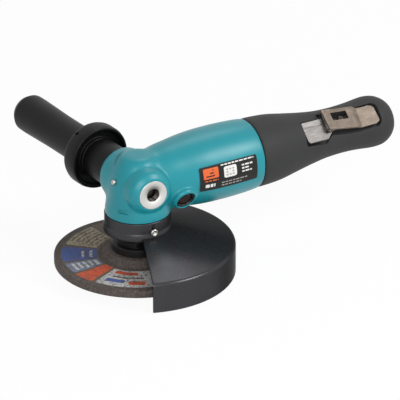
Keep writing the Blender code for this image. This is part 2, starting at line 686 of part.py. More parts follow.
def build_insert(housing, side, name):
    """A threaded bush in a side boss, for the side handle."""
    frame = side_frame(side)
    seat = INSERT_START - FIT
    cut(housing, rod(f"insert_seat_{name}", INSERT_RADIUS + PRESS_FIT, seat, BOSS_FACE + 3, frame))
    turned(f"handle_insert_{name}", [
        (INSERT_HOLE, BOSS_FACE - 0.8), (INSERT_HOLE + 0.8, BOSS_FACE), (INSERT_RADIUS - 0.3, BOSS_FACE),
        (INSERT_RADIUS, BOSS_FACE - 0.3), (INSERT_RADIUS, INSERT_START), (INSERT_HOLE, INSERT_START),
    ], frame, ALUMINIUM)


def build_grease_fitting(housing):
    """A flush ball-check fitting in the front of the head."""
    turn = math.radians(GREASE_ANGLE)
    frame = pointing((math.cos(turn), math.sin(turn), 0), (0, 0, GREASE_Z))
    cut(housing, rod("grease_port", GREASE_RADIUS + PRESS_FIT, GREASE_START - 0.6, SKIRT_RADIUS + 3.5, frame,
                     steps=STEPS_FINE))
    turned("grease_fitting", [
        (0, GREASE_END), (GREASE_RADIUS - 1.2, GREASE_END), (GREASE_RADIUS, GREASE_END - 0.6),
        (GREASE_RADIUS, GREASE_START), (0, GREASE_START),
    ], frame, STEEL, STEPS_FINE)


def build_bearing_cap():
    pocket = LOWER_BEARING_RADIUS + PRESS_FIT
    lip = SPINDLE_SHOULDER_RADIUS + WIDE_FIT
    top = HEAD_BOTTOM_Z - FIT
    seat = LOWER_BEARING_Z - FIT
    turned("bearing_cap", [
        (CAP_THREAD_RADIUS, CAP_THREAD_TOP_Z), (CAP_THREAD_RADIUS, top), (CAP_RADIUS, top),
        (CAP_RADIUS, CAP_BOTTOM_Z + 0.6), (CAP_RADIUS - 0.6, CAP_BOTTOM_Z), (lip, CAP_BOTTOM_Z), (lip, seat),
        (pocket, seat), (pocket, CAP_THREAD_TOP_Z),
    ], UPRIGHT, DARK_STEEL, STEPS_MEDIUM)


# Guard: a pressed half shell on a full collar, held by one clamp screw

def guard_section():
    """The sheet's section: a shallow cone from the collar, a fold, and an upright skirt."""
    drop = GUARD_CONE_Z - GUARD_FOLD_Z - GUARD_FOLD
    slope = math.degrees(math.atan2(drop, GUARD_RADIUS - COLLAR_RADIUS))
    centre = (GUARD_RADIUS - GUARD_FOLD, GUARD_FOLD_Z)
    start = COLLAR_RADIUS - 0.5
    lift = GUARD_SHEET / math.cos(math.radians(slope))
    outside = [(start, GUARD_CONE_Z), *arc(centre, GUARD_FOLD, 90 - slope, 0, 4), (GUARD_RADIUS, GUARD_RIM_Z)]
    inside = [(GUARD_RADIUS - GUARD_SHEET, GUARD_RIM_Z),
              *arc(centre, GUARD_FOLD - GUARD_SHEET, 0, 90 - slope, 4), (start, GUARD_CONE_Z - lift)]
    return outside + inside


def build_guard():
    guard = turned("wheel_guard", guard_section(), UPRIGHT, GUARD_PAINT, STEPS_GUARD)
    reach = GUARD_RADIUS + 10
    front = Matrix.Rotation(math.radians(GUARD_TURN), 4, "Z")
    cut(guard, block("guard_front", (-reach, -reach, -30), (0, reach, 60), front))
    collar_end = GUARD_CONE_Z - GUARD_SHEET - 1.0
    flare = COLLAR_RADIUS + COLLAR_FLARE
    join(guard, turned("guard_collar", [
        (COLLAR_INNER, COLLAR_TOP_Z), (COLLAR_RADIUS - 0.4, COLLAR_TOP_Z), (COLLAR_RADIUS, COLLAR_TOP_Z - 0.4),
        (COLLAR_RADIUS, GUARD_CONE_Z + 1.5), (flare, GUARD_CONE_Z - 0.2), (flare, collar_end),
        (COLLAR_INNER, collar_end),
    ], UPRIGHT, None, STEPS_GUARD))
    turn = math.radians(CLAMP_SCREW_ANGLE)
    frame = pointing((math.cos(turn), math.sin(turn), 0), (0, 0, CLAMP_SCREW_Z))
    cut(guard, rod("clamp_hole", CLAMP_SCREW_RADIUS + FIT, COLLAR_INNER - 3, COLLAR_RADIUS + 3, frame,
                   steps=STEPS_FINE))
    head_start = COLLAR_RADIUS + FIT
    head_end = head_start + CLAMP_HEAD_HEIGHT
    screw = turned("guard_clamp_screw", [
        (0, head_end), (CLAMP_HEAD_RADIUS - 0.4, head_end), (CLAMP_HEAD_RADIUS, head_end - 0.4),
        (CLAMP_HEAD_RADIUS, head_start), (CLAMP_SCREW_RADIUS, head_start),
        (CLAMP_SCREW_RADIUS, COLLAR_INNER + 0.2), (0, COLLAR_INNER + 0.2),
    ], frame, STEEL, STEPS_PIN)
    cut(screw, rod("hex_socket", CLAMP_SOCKET_RADIUS, head_start + 0.9, head_end + 1, frame, steps=6))


def build_lock_button():
    """The button's pin drops into a hole in the pinion's collar. A ring keeps the button in its bore."""
    frame = button_frame()
    tip = LOCK_COLLAR_RADIUS + 0.6
    step = BUTTON_SHOULDER + BUTTON_FLANGE
    cap = BUTTON_RADIUS - 1.2
    turned("lock_button", [
        (0, BUTTON_FACE), (cap - 1.0, BUTTON_FACE), (cap, BUTTON_FACE - 0.8), (cap, step),
        (BUTTON_RADIUS, step), (BUTTON_RADIUS, BUTTON_SHOULDER), (LOCK_PIN_RADIUS, BUTTON_SHOULDER),
        (LOCK_PIN_RADIUS, tip), (0, tip),
    ], frame, RUBBER, STEPS_SMALL)
    tube("lock_button_ring", BUTTON_RADIUS - 0.8, BUTTON_RADIUS + 0.25, step + FIT, step + FIT + 1.2,
         frame, DARK_STEEL, STEPS_SMALL)
    spring_frame = frame @ Matrix.Translation((0, 0, (BUTTON_SEAT + 0.2) * MM))
    helix("lock_button_spring", BUTTON_SPRING, BUTTON_SHOULDER - BUTTON_SEAT - 0.4, spring_frame)


# Air motor

def build_motor():
    pocket = FRONT_BEARING_RADIUS + PRESS_FIT
    shaft = ROTOR_SHAFT_RADIUS + WIDE_FIT
    bearing_x = FRONT_PLATE_X + 0.6
    bearing_end = bearing_x + FRONT_BEARING_WIDTH + FIT
    turned("front_end_plate", [
        (LINER_RADIUS, FRONT_PLATE_X), (LINER_RADIUS, FRONT_PLATE_END), (shaft, FRONT_PLATE_END),
        (shaft, bearing_end), (pocket, bearing_end), (pocket, FRONT_PLATE_X),
    ], MOTOR, STEEL, STEPS_MEDIUM)
    bearing("front_bearing", ROTOR_SHAFT_RADIUS, FRONT_BEARING_RADIUS, bearing_x, FRONT_BEARING_WIDTH, MOTOR)
    pocket = REAR_BEARING_RADIUS + PRESS_FIT
    shaft = REAR_SHAFT_RADIUS + WIDE_FIT
    bearing_x = REAR_PLATE_END - REAR_BEARING_WIDTH + 0.4
    turned("rear_end_plate", [
        (LINER_RADIUS, REAR_PLATE_X), (LINER_RADIUS, REAR_PLATE_END), (pocket, REAR_PLATE_END),
        (pocket, bearing_x - FIT), (shaft, bearing_x - FIT), (shaft, REAR_PLATE_X),
    ], MOTOR, STEEL, STEPS_MEDIUM)
    bearing("rear_bearing", REAR_SHAFT_RADIUS, REAR_BEARING_RADIUS, bearing_x, REAR_BEARING_WIDTH, MOTOR)
    build_liner()
    build_rotor(bearing_x + REAR_BEARING_WIDTH)


def build_liner():
    """The bore is off centre, so that the vanes sweep a crescent."""
    liner = rod("cylinder_liner", LINER_RADIUS, LINER_X, LINER_END, MOTOR, STEEL, STEPS_MEDIUM)
    above = Matrix.Translation((0, 0, LINER_OFFSET * MM)) @ MOTOR
    cut(liner, rod("liner_bore", LINER_BORE, LINER_X - 2, LINER_END + 2, above, steps=STEPS_MEDIUM))
    for slot in range(3):
        middle = LINER_X + LINER_LENGTH * (slot + 1) / 4
        low = (middle - 3, -LINER_RADIUS - 3, AXIS_Z - 3)
        high = (middle + 3, -LINER_RADIUS + 6, AXIS_Z + 3)
        cut(liner, block(f"exhaust_slot_{slot}", low, high, UPRIGHT))


def build_rotor(shaft_end):
    start = LINER_X + FIT
    end = LINER_END - FIT
    nose = on_cone(PINION_RADIUS, TOOTH_SMALL_END, -DEDENDUM)[1] + 0.5
    collar_end = LOCK_COLLAR_END + FIT
    seat = ROTOR_SHAFT_RADIUS - 2.2
    rotor = turned("rotor", [
        (0, nose), (seat, nose), (seat, collar_end), (ROTOR_SHAFT_RADIUS, collar_end),
        (ROTOR_SHAFT_RADIUS, start), (ROTOR_RADIUS, start), (ROTOR_RADIUS, end),
        (REAR_SHAFT_RADIUS, end), (REAR_SHAFT_RADIUS, shaft_end), (0, shaft_end),
    ], MOTOR, DARK_STEEL, STEPS_MEDIUM)
    outer = ROTOR_RADIUS - 0.1
    inner = outer - VANE_DEPTH
    half = VANE_THICKNESS / 2
    slot_half = half + 0.15
    for vane in range(VANES):
        spin = Matrix.Rotation(2 * math.pi * vane / VANES, 4, "X")
        turn = Matrix.Translation((0, 0, AXIS_Z * MM)) @ spin
        cut(rotor, block(f"vane_slot_{vane}", (start - 1, -slot_half, inner - FIT),
                         (end + 1, slot_half, ROTOR_RADIUS + 1), turn))
        block(f"vane_{vane + 1}", (start + 0.1, -half, inner), (end - 0.1, half, outer), turn, PHENOLIC)


# Handle: a cast core that carries the valve, and a moulded rubber sleeve

def build_core():
    seat = INLET_THREAD_RADIUS + PRESS_FIT
    spigot = MOTOR_BORE - FIT
    core = turned("handle_core", [
        (spigot, SPIGOT_X), (spigot, GRIP_FRONT_X + 3), (CORE_NECK_RADIUS, CORE_CONE_X),
        (CORE_NECK_RADIUS, CORE_STEP_X), (CORE_RADIUS, CORE_STEP_X + 3), (CORE_RADIUS, CORE_REAR_X),
        (seat, CORE_REAR_X), (seat, INLET_SEAT_X), (AIR_BORE, INLET_SEAT_X), (AIR_BORE, CORE_CONE_X - 6),
        (MOTOR_BORE - 5, SPIGOT_X + 6), (MOTOR_BORE - 5, SPIGOT_X),
    ], MOTOR, ALUMINIUM, STEPS_MEDIUM)
    half = BRACKET_HALF_WIDTH
    low = (PIN_X - BRACKET_HALF_LENGTH, -half, CORE_RADIUS - 2.5)
    high = (PIN_X + BRACKET_HALF_LENGTH, half, PIN_HEIGHT + 2.1)
    join(core, block("lever_bracket", low, high, HANDLE))
    cut(core, rod("lever_pin_hole", LEVER_PIN_RADIUS + 0.2, -half - 1, half + 1, cross_pin(PIN_X, PIN_HEIGHT),
                  steps=STEPS_FINE))
    stem = STEM_RADIUS + FIT
    cap = VALVE_CAP_RADIUS + FIT
    reach = CORE_RADIUS + 2
    cut(core, turned("valve_bore", [
        (0, reach), (stem, reach), (stem, VALVE_HEAD_TOP + 1.2), (cap, VALVE_HEAD_TOP + 1.2), (cap, -reach),
        (0, -reach),
    ], valve_frame(), None, STEPS_PIN))


def build_sleeve():
    core = CORE_RADIUS + FIT
    neck = CORE_NECK_RADIUS + FIT
    silencer = SILENCER_RADIUS + FIT
    inside = [
        (INLET_FLANGE_RADIUS + FIT, SILENCER_END + FIT), (silencer, SILENCER_END + FIT),
        (silencer, SILENCER_X - FIT), (core, SILENCER_X - FIT), (core, CORE_STEP_X + 3 - FIT),
        (neck, CORE_STEP_X - FIT), (neck, CORE_CONE_X + FIT), (MOTOR_BORE, GRIP_FRONT_X + 3 + FIT),
        (MOTOR_BORE, GRIP_FRONT_X),
    ]
    sleeve = turned("grip_sleeve", SLEEVE_OUTSIDE + inside, MOTOR, RUBBER, STEPS_LARGE)
    cut_pockets(sleeve)
    for hole in range(EXHAUST_HOLES):
        turn = Matrix.Rotation(2 * math.pi * (hole + 0.5) / EXHAUST_HOLES, 4, "Z")
        spot = MOTOR @ turn @ Matrix.Translation((EXHAUST_CIRCLE * MM, 0, 0))
        cut(sleeve, rod(f"exhaust_hole_{hole}", EXHAUST_HOLE_RADIUS, SILENCER_END - 0.4, GRIP_REAR_X + 3,
                        spot, steps=STEPS_FINE))


def cut_pockets(sleeve):
    """Room for the lock-off pad and the lever's front to sink into, and a rounded pocket behind them."""
    half = LEVER_WIDTH / 2 + POCKET_MARGIN
    front = PIN_X - LOCKOFF_REACH - LOCKOFF_NOSE - POCKET_MARGIN
    pad_end = PIN_X - LOCKOFF_REACH + LOCKOFF_TAIL + POCKET_MARGIN
    near = -LOCKOFF_NEAR - POCKET_MARGIN
    far = LOCKOFF_FAR + POCKET_MARGIN
    lever_front = PIN_X - LEVER_LENGTH - POCKET_MARGIN
    deep_end = CORE_STEP_X - 1
    deep_outline = [(front, far), (lever_front, far), (lever_front, half), (deep_end, half), (deep_end, -half),
                    (pad_end, -half), (pad_end, near), (front, near)]
    rear_half = half + FIT
    rear_outline = [(deep_end - 2, rear_half), *arc((PIN_X - 2.5, 0), rear_half, 90, -90, 10),
                    (deep_end - 2, -rear_half)]
    cut(sleeve, prism("pad_pocket", deep_outline, PAD_POCKET_FLOOR, 40, HANDLE),
        prism("lever_pocket", rear_outline, POCKET_FLOOR, 42, HANDLE))


def build_inlet():
    tube("exhaust_silencer", INLET_FLANGE_RADIUS + FIT, SILENCER_RADIUS, SILENCER_X, SILENCER_END,
         MOTOR, FELT, STEPS_BUSH)
    seat = INLET_SEAT_X + 2.2
    face = GRIP_REAR_X + 0.7
    shoulder = CORE_REAR_X + FIT
    turned("inlet_bushing", [
        (INLET_HOLE, face - 0.7), (INLET_HOLE + 0.7, face), (INLET_FLANGE_RADIUS - 0.8, face),
        (INLET_FLANGE_RADIUS, face - 0.8), (INLET_FLANGE_RADIUS, shoulder), (INLET_THREAD_RADIUS, shoulder),
        (INLET_THREAD_RADIUS, seat), (INLET_HOLE, seat),
    ], MOTOR, STEEL, STEPS_BUSH)
    rim = INLET_THREAD_RADIUS - 0.1
    turned("inlet_screen", [
        (rim, INLET_SEAT_X + FIT), (rim, INLET_SEAT_X + 1.8), (3.2, INLET_SEAT_X + 1.8),
        (1.6, INLET_SEAT_X - 6), (0, INLET_SEAT_X - 6), (0, INLET_SEAT_X - 7), (2.2, INLET_SEAT_X - 7),
        (4.2, INLET_SEAT_X + FIT),
    ], MOTOR, BRASS, STEPS_PIN)


# Throttle lever, lock-off lever and valve

def lever_frame():
    """Its X runs forward from the pin, its Y is the height over the pin, and its Z points to the far side."""
    return in_handle(PIN_X, 0, PIN_HEIGHT) @ Matrix(((-1, 0, 0, 0), (0, 0, 1, 0), (0, 1, 0, 0), (0, 0, 0, 1)))


def valve_frame():
    return in_handle(PIN_X - VALVE_REACH, 0, 0)


def build_lever():
    frame = lever_frame()
    half = LEVER_WIDTH / 2
    reaches = (LEVER_REAR, LEVER_JOGGLE - 2, LEVER_JOGGLE + 2, LEVER_LENGTH)
    top = [(reach, lever_top(reach)) for reach in reaches]
    under = [(reach, height - LEVER_SHEET) for reach, height in reversed(top)]
    lever = prism("throttle_lever", top + under, -half, half, frame, NICKEL)
    ear_start = BRACKET_HALF_WIDTH + FIT
    front_ear_start = KNUCKLE_END + FIT
    rear_root = LEVER_REAR_RISE - 0.4
    root = LOCKOFF_REACH - 6
    nose = LEVER_LENGTH - 0.4
    rear_ear = [*arc((0, 0), EAR_RADIUS, 180, 360, 8), (EAR_RADIUS + 3, rear_root), (-EAR_RADIUS, rear_root)]
    front_ear = [(root, lever_top(root) - 0.6), (root + 2, LOCKOFF_RISE),
                 *arc((LOCKOFF_REACH, LOCKOFF_RISE), LOCKOFF_EAR_RADIUS, 220, 360, 8),
                 (nose, lever_top(nose) - 0.6)]
    for side in (-1, 1):
        low, high = sorted((side * ear_start, side * (ear_start + LEVER_SHEET)))
        join(lever, prism(f"rear_ear_{side}", rear_ear, low, high, frame))
        low, high = sorted((side * front_ear_start, side * (front_ear_start + LEVER_SHEET)))
        join(lever, prism(f"front_ear_{side}", front_ear, low, high, frame))
    plan = frame @ Matrix(((1, 0, 0, 0), (0, 0, 1, 0), (0, -1, 0, 0), (0, 0, 0, 1)))
    rear = LEVER_REAR - 1
    for side in (-1, 1):
        corner = [(rear, side * (half - 4.5)), (0.5, side * (half + 1)), (rear, side * (half + 1))]
        cut(lever, prism(f"rear_corner_{side}", corner, -20, 20, plan))
    window_end = WINDOW_START + WINDOW_LENGTH
    window = [(WINDOW_START, -2), (window_end, -2), (window_end, 12), (WINDOW_START, 12)]
    cut(lever, prism("lever_window", window, WINDOW_OFFSET - WINDOW_WIDTH / 2, WINDOW_OFFSET + WINDOW_WIDTH / 2,
                     frame))
    across = frame @ Matrix.Translation((LOCKOFF_REACH * MM, LOCKOFF_RISE * MM, 0))
    cut(lever, rod("rear_ear_holes", LEVER_PIN_RADIUS + 0.2, -half, half, frame, steps=STEPS_FINE),
        rod("front_ear_holes", LOCKOFF_PIN_RADIUS + 0.2, -half - 1, half + 1, across, steps=STEPS_FINE))
    pin_end = ear_start + LEVER_SHEET + 0.4
    rod("lever_pin", LEVER_PIN_RADIUS, -pin_end, pin_end, frame, STEEL, STEPS_FINE)
    pin_end = front_ear_start + LEVER_SHEET + 0.3
    rod("lockoff_pin", LOCKOFF_PIN_RADIUS, -pin_end, pin_end, across, STEEL, STEPS_FINE)
    build_lockoff(across)


def build_lockoff(frame):
    """A folded pad under the lever's nose, wider on the near side: lifting it frees the throttle lever."""
    low = -KNUCKLE_RADIUS
    high = low + LOCKOFF_SHEET
    near_low = low - LOCKOFF_SLANT
    section = [(-LOCKOFF_FAR, low), (LOCKOFF_FOLD, low), (LOCKOFF_NEAR, near_low),
               (LOCKOFF_NEAR, near_low + LOCKOFF_SHEET), (LOCKOFF_FOLD, high), (-LOCKOFF_FAR, high)]
    forward = frame @ Matrix(((0, 0, 1, 0), (0, 1, 0, 0), (-1, 0, 0, 0), (0, 0, 0, 1)))
    pad = prism("lockoff_lever", section, -LOCKOFF_TAIL, LOCKOFF_NOSE, forward, STEEL)
    plan = frame @ Matrix(((1, 0, 0, 0), (0, 0, 1, 0), (0, -1, 0, 0), (0, 0, 0, 1)))
    tip = LOCKOFF_NOSE + 1
    edge = LOCKOFF_NEAR + 1
    tail = -LOCKOFF_TAIL - 1
    nose_corner = [(tip - 3.5, edge), (tip, edge), (tip, edge - 3.5)]
    tail_corner = [(tail, edge - 7), (tail, edge), (4, edge)]
    cut(pad, prism("pad_nose_corner", nose_corner, -6, 6, plan),
        prism("pad_tail_corner", tail_corner, -6, 6, plan))
    join(pad, rod("knuckle", KNUCKLE_RADIUS, -KNUCKLE_END, -KNUCKLE_START, frame, None, STEPS_FINE))
    ear_room = LOCKOFF_EAR_RADIUS + 2 * FIT
    room = [(tail, -6), (ear_room, -6), (ear_room, 6), (tail, 6)]
    cut(pad, prism("ear_room", room, -KNUCKLE_END - LEVER_SHEET - 2 * FIT, -KNUCKLE_END, frame))
    spring_room = KNUCKLE_RADIUS + 0.6
    room = [(-spring_room - 1, -6), (spring_room, -6), (spring_room, 6), (-spring_room - 1, 6)]
    cut(pad, prism("spring_room", room, -KNUCKLE_START, KNUCKLE_START + 2, frame),
        rod("lockoff_pin_hole", LOCKOFF_PIN_RADIUS + 0.25, -LOCKOFF_NEAR, LOCKOFF_FAR + 1, frame, None,
            STEPS_FINE))
    coil_length = 2 * KNUCKLE_START - 0.8
    coil = frame @ Matrix.Translation((0, 0, -coil_length / 2 * MM))
    helix("lockoff_spring", LOCKOFF_SPRING, coil_length, coil)


def build_valve():
    frame = valve_frame()
    stem_top = PIN_HEIGHT + lever_top(VALVE_REACH) - LEVER_SHEET - FIT
    head_bottom = VALVE_HEAD_TOP - VALVE_HEAD_HEIGHT
    turned("valve_stem", [
        (0, stem_top), (STEM_RADIUS - 0.6, stem_top), (STEM_RADIUS, stem_top - 0.6),
        (STEM_RADIUS, VALVE_HEAD_TOP), (VALVE_HEAD_RADIUS, VALVE_HEAD_TOP), (VALVE_HEAD_RADIUS, head_bottom),
        (0, head_bottom),
    ], frame, BRASS, STEPS_PIN)
    rod("valve_cap", VALVE_CAP_RADIUS, -CORE_RADIUS + 1.2, VALVE_CAP_TOP, frame, BRASS, STEPS_PIN)
    spring_frame = frame @ Matrix.Translation((0, 0, (VALVE_CAP_TOP + 0.2) * MM))
    helix("valve_spring", VALVE_SPRING, head_bottom - VALVE_CAP_TOP - 0.4, spring_frame)


# Side handle, screwed into the far boss

def build_side_handle():
    frame = side_frame(1)
    neck = SIDE_COLLAR_RADIUS
    bore = STUD_RADIUS + PRESS_FIT
    tube("side_handle_collar", bore, neck, BOSS_FACE + FIT, SIDE_COLLAR_END, frame, RUBBER, STEPS_MEDIUM)
    grip_start = SIDE_COLLAR_END + FIT
    flange_end = SIDE_FLANGE_START + SIDE_FLANGE_LENGTH
    head_room = STUD_HEAD_RADIUS + PRESS_FIT
    end_arc = arc((SIDE_GRIP_END_RADIUS - SIDE_END_ROUND, SIDE_END - SIDE_END_ROUND), SIDE_END_ROUND, 20, 90, 4)
    turned("side_handle_grip", [
        (bore, grip_start), (neck - 1.5, grip_start), (neck - 0.5, grip_start + 1),
        (neck, SIDE_FLANGE_START + 3.0), (SIDE_FLANGE_RADIUS - 2.5, SIDE_FLANGE_START),
        (SIDE_FLANGE_RADIUS, SIDE_FLANGE_START + 0.8), (SIDE_FLANGE_RADIUS + 0.4, SIDE_FLANGE_START + 5.0),
        (SIDE_FLANGE_RADIUS - 1.6, flange_end - 3.0), (SIDE_FLANGE_RADIUS - 5.0, flange_end),
        (SIDE_GRIP_RADIUS + 1.2, flange_end + 1.2), (SIDE_GRIP_RADIUS, flange_end + 5),
        (SIDE_GRIP_RADIUS, SIDE_END - 45), (SIDE_GRIP_END_RADIUS, SIDE_END - 14), *end_arc,
        (0, SIDE_END), (0, STUD_HEAD_END), (head_room, STUD_HEAD_END), (head_room, STUD_HEAD_START),
        (bore, STUD_HEAD_START),
    ], frame, RUBBER, STEPS_MEDIUM)
    head_end = STUD_HEAD_END - FIT
    head_start = STUD_HEAD_START + FIT
    stud_start = INSERT_START + 0.4
    turned("side_handle_stud", [
        (0, head_end), (STUD_HEAD_RADIUS, head_end), (STUD_HEAD_RADIUS, head_start), (STUD_RADIUS, head_start),
        (STUD_RADIUS, stud_start), (0, stud_start),
    ], frame, STEEL, STEPS_PIN)


build_gear_pair()
build_spindle()
build_wheel()
build_housing()
build_bearing_cap()
build_guard()
build_lock_button()
build_motor()
build_core()
build_sleeve()
build_inlet()
build_lever()
build_valve()
build_side_handle()
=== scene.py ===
"""Pneumatic angle grinder: the finished look of each piece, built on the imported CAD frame.

Sizes are in millimetres and degrees. The origin is the centre of the spindle's lower end: +Z runs
up the spindle, +X runs along the motor to the air inlet, and the side handle points along +Y.
"""
import math

import bmesh
import bpy
from mathutils import Matrix, Vector


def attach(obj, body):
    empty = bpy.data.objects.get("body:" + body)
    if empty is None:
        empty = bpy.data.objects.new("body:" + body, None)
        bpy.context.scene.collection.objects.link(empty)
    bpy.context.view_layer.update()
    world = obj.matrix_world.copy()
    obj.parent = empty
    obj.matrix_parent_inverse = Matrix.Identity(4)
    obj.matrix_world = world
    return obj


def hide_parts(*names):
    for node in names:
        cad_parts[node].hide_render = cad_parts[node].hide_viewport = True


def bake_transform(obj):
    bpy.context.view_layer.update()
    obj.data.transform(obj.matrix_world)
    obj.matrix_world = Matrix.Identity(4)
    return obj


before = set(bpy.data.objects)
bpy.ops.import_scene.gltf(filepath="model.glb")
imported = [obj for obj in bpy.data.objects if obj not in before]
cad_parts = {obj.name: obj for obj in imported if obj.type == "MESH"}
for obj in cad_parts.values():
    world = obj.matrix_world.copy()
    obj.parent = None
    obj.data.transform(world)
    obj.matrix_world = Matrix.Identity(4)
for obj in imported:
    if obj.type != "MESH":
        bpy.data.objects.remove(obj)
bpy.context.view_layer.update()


# Studio. A pale floor that holds a soft shadow, a white surround, three large soft lamps, and a long
# lens that looks down on the near side of the tool from its front.

def linear(colour):
    """An sRGB hex colour as linear red, green, blue and alpha."""
    parts = [int(colour[i:i + 2], 16) / 255 for i in (1, 3, 5)]
    return (*(c / 12.92 if c <= 0.04045 else ((c + 0.055) / 1.055) ** 2.4 for c in parts), 1.0)


def add(tree, kind, inputs, **settings):
    """Adds a node. Each input takes a plain value, or the output socket that feeds it."""
    made = tree.nodes.new(kind)
    for name, value in settings.items():
        setattr(made, name, value)
    for key, value in inputs.items():
        if isinstance(value, bpy.types.NodeSocket):
            tree.links.new(value, made.inputs[key])
        else:
            made.inputs[key].default_value = value
    return made


def new_material(name):
    """An empty material and its node tree."""
    made = bpy.data.materials.new(name)
    made.use_nodes = True
    made.node_tree.nodes.clear()
    return made, made.node_tree


def seen_share(tree):
    """1 for a ray that the lens sees, directly or in a shiny surface, and 0 for one that only lights."""
    ray = add(tree, "ShaderNodeLightPath", {})
    through = add(tree, "ShaderNodeMath", {
        0: ray.outputs["Is Glossy Ray"], 1: ray.outputs["Is Transmission Ray"]}, operation="MAXIMUM")
    seen = add(tree, "ShaderNodeMath", {
        0: ray.outputs["Is Camera Ray"], 1: through.outputs[0]}, operation="MAXIMUM")
    return seen.outputs[0]


scene = bpy.context.scene
scene.view_settings.view_transform = "Standard"
world = bpy.data.worlds.new("studio_surround")
world.use_nodes = True
world.node_tree.nodes.clear()
scene.world = world
tree = world.node_tree
surround = add(tree, "ShaderNodeMix", {
    "Factor": seen_share(tree), 6: linear("#8e9194"), 7: linear("#ffffff")}, data_type="RGBA")
light = add(tree, "ShaderNodeBackground", {"Color": surround.outputs[2], "Strength": 1.0})
add(tree, "ShaderNodeOutputWorld", {"Surface": light.outputs[0]})

# Matt white paper, brightly lit: nearly pure white, with just a breath of shadow under the tool.
PAPER_GLOW = 0.94
floor_paper, tree = new_material("matt_white_paper")
paper = add(tree, "ShaderNodeBsdfDiffuse", {"Color": linear("#f8f8f8")})
glow = add(tree, "ShaderNodeEmission", {"Color": linear("#ffffff"), "Strength": 1.0})
clear = add(tree, "ShaderNodeMath", {0: seen_share(tree), 1: PAPER_GLOW}, operation="MULTIPLY")
both = add(tree, "ShaderNodeMixShader", {0: clear.outputs[0], 1: paper.outputs[0], 2: glow.outputs[0]})
add(tree, "ShaderNodeOutputMaterial", {"Surface": both.outputs[0]})
FLOOR_Z = -7.6
FLOOR_HALF = 9
floor_mesh = bpy.data.meshes.new("studio_floor")
floor_mesh.from_pydata(
    [(x * FLOOR_HALF, y * FLOOR_HALF, FLOOR_Z / 1000) for x, y in ((-1, -1), (1, -1), (1, 1), (-1, 1))],
    [], [(0, 1, 2, 3)])
floor_mesh.materials.append(floor_paper)
floor = bpy.data.objects.new("studio_floor", floor_mesh)
scene.collection.objects.link(floor)

CENTRE = Vector((0.054, 0.0, 0.0365))
for name, place, size, power in (
    ("top_softbox", (0.79, -0.92, 1.06), 0.6, 13.0),
    ("front_softbox", (-0.75, -1.15, 0.75), 0.9, 13.0),
    ("back_softbox", (0.60, 0.63, 1.25), 0.5, 2.4),
):
    softbox = bpy.data.lights.new(name, "AREA")
    softbox.size = size
    softbox.energy = power
    lamp = bpy.data.objects.new(name, softbox)
    lamp.location = place
    lamp.rotation_euler = (CENTRE - Vector(place)).to_track_quat("-Z", "Y").to_euler()
    scene.collection.objects.link(lamp)

VIEW_AZIMUTH = math.radians(-31.0)
VIEW_ELEVATION = math.radians(26.0)
VIEW_DISTANCE = 4.0
lens = bpy.data.cameras.new("long_lens")
lens.lens = 482.0
lens.sensor_width = 36.0
camera = bpy.data.objects.new("long_lens", lens)
camera.location = CENTRE + VIEW_DISTANCE * Vector((
    math.sin(VIEW_AZIMUTH) * math.cos(VIEW_ELEVATION),
    -math.cos(VIEW_AZIMUTH) * math.cos(VIEW_ELEVATION),
    math.sin(VIEW_ELEVATION),
))
camera.rotation_euler = (CENTRE - camera.location).to_track_quat("-Z", "Y").to_euler()
scene.collection.objects.link(camera)
scene.camera = camera


# Motor housing. One pressure die casting in aluminium: an upright gear head and a barrel for the air
# motor, with a boss on each side for the handle and a lobe for the spindle lock, under teal enamel.
# The masses are blended together as a casting's fillets do, and its seats are then cut to size.

MM = 0.001
AXIS_Z = 65.0
UPRIGHT = Matrix.Identity(4)
MOTOR = Matrix.Translation((0, 0, AXIS_Z * MM)) @ Matrix.Rotation(math.pi / 2, 4, "Y")


def flowing(points, count=6):
    """A smooth line through the points, with count steps between each two."""
    ends = [Vector(points[0]) * 2 - Vector(points[1]), *map(Vector, points),
            Vector(points[-1]) * 2 - Vector(points[-2])]
    line = []
    for a, b, c, d in zip(ends, ends[1:], ends[2:], ends[3:]):
        for step in range(count):
            t = step / count
            bend = (2 * a - 5 * b + 4 * c - d) * t * t + (3 * b - a - 3 * c + d) * t ** 3
            line.append(tuple(0.5 * (2 * b + (c - a) * t + bend)))
    return [*line, tuple(points[-1])]


def rounded(points, radius, closed=True, steps=4):
    """The same outline with each corner turned into a small arc."""
    line = []
    last = len(points) - 1
    for i, point in enumerate(points):
        here = Vector(point)
        before = Vector(points[i - 1]) - here
        after = Vector(points[(i + 1) % len(points)]) - here
        corner = before.angle(after) if before.length and after.length else math.pi
        if corner > math.radians(160) or (not closed and i in (0, last)):
            line.append(tuple(here))
            continue
        reach = min(radius / math.tan(corner / 2), before.length * 0.45, after.length * 0.45)
        start = here + before.normalized() * reach
        end = here + after.normalized() * reach
        for step in range(steps + 1):
            t = step / steps
            line.append(tuple(start * (1 - t) ** 2 + here * 2 * t * (1 - t) + end * t * t))
    return line


def new_piece(name, mesh, finish=None):
    """An object for a finished mesh, at the origin, with smooth shading."""
    mesh.shade_smooth()
    if finish:
        mesh.materials.append(finish)
    made = bpy.data.objects.new(name, mesh)
    scene.collection.objects.link(made)
    return made


def close_up(shape, name, place, finish):
    """Makes a piece of a closed shape: its faces turned outward, and set at a place."""
    bmesh.ops.recalc_face_normals(shape, faces=shape.faces)
    shape.transform(place)
    mesh = bpy.data.meshes.new(name)
    shape.to_mesh(mesh)
    shape.free()
    return new_piece(name, mesh, finish)


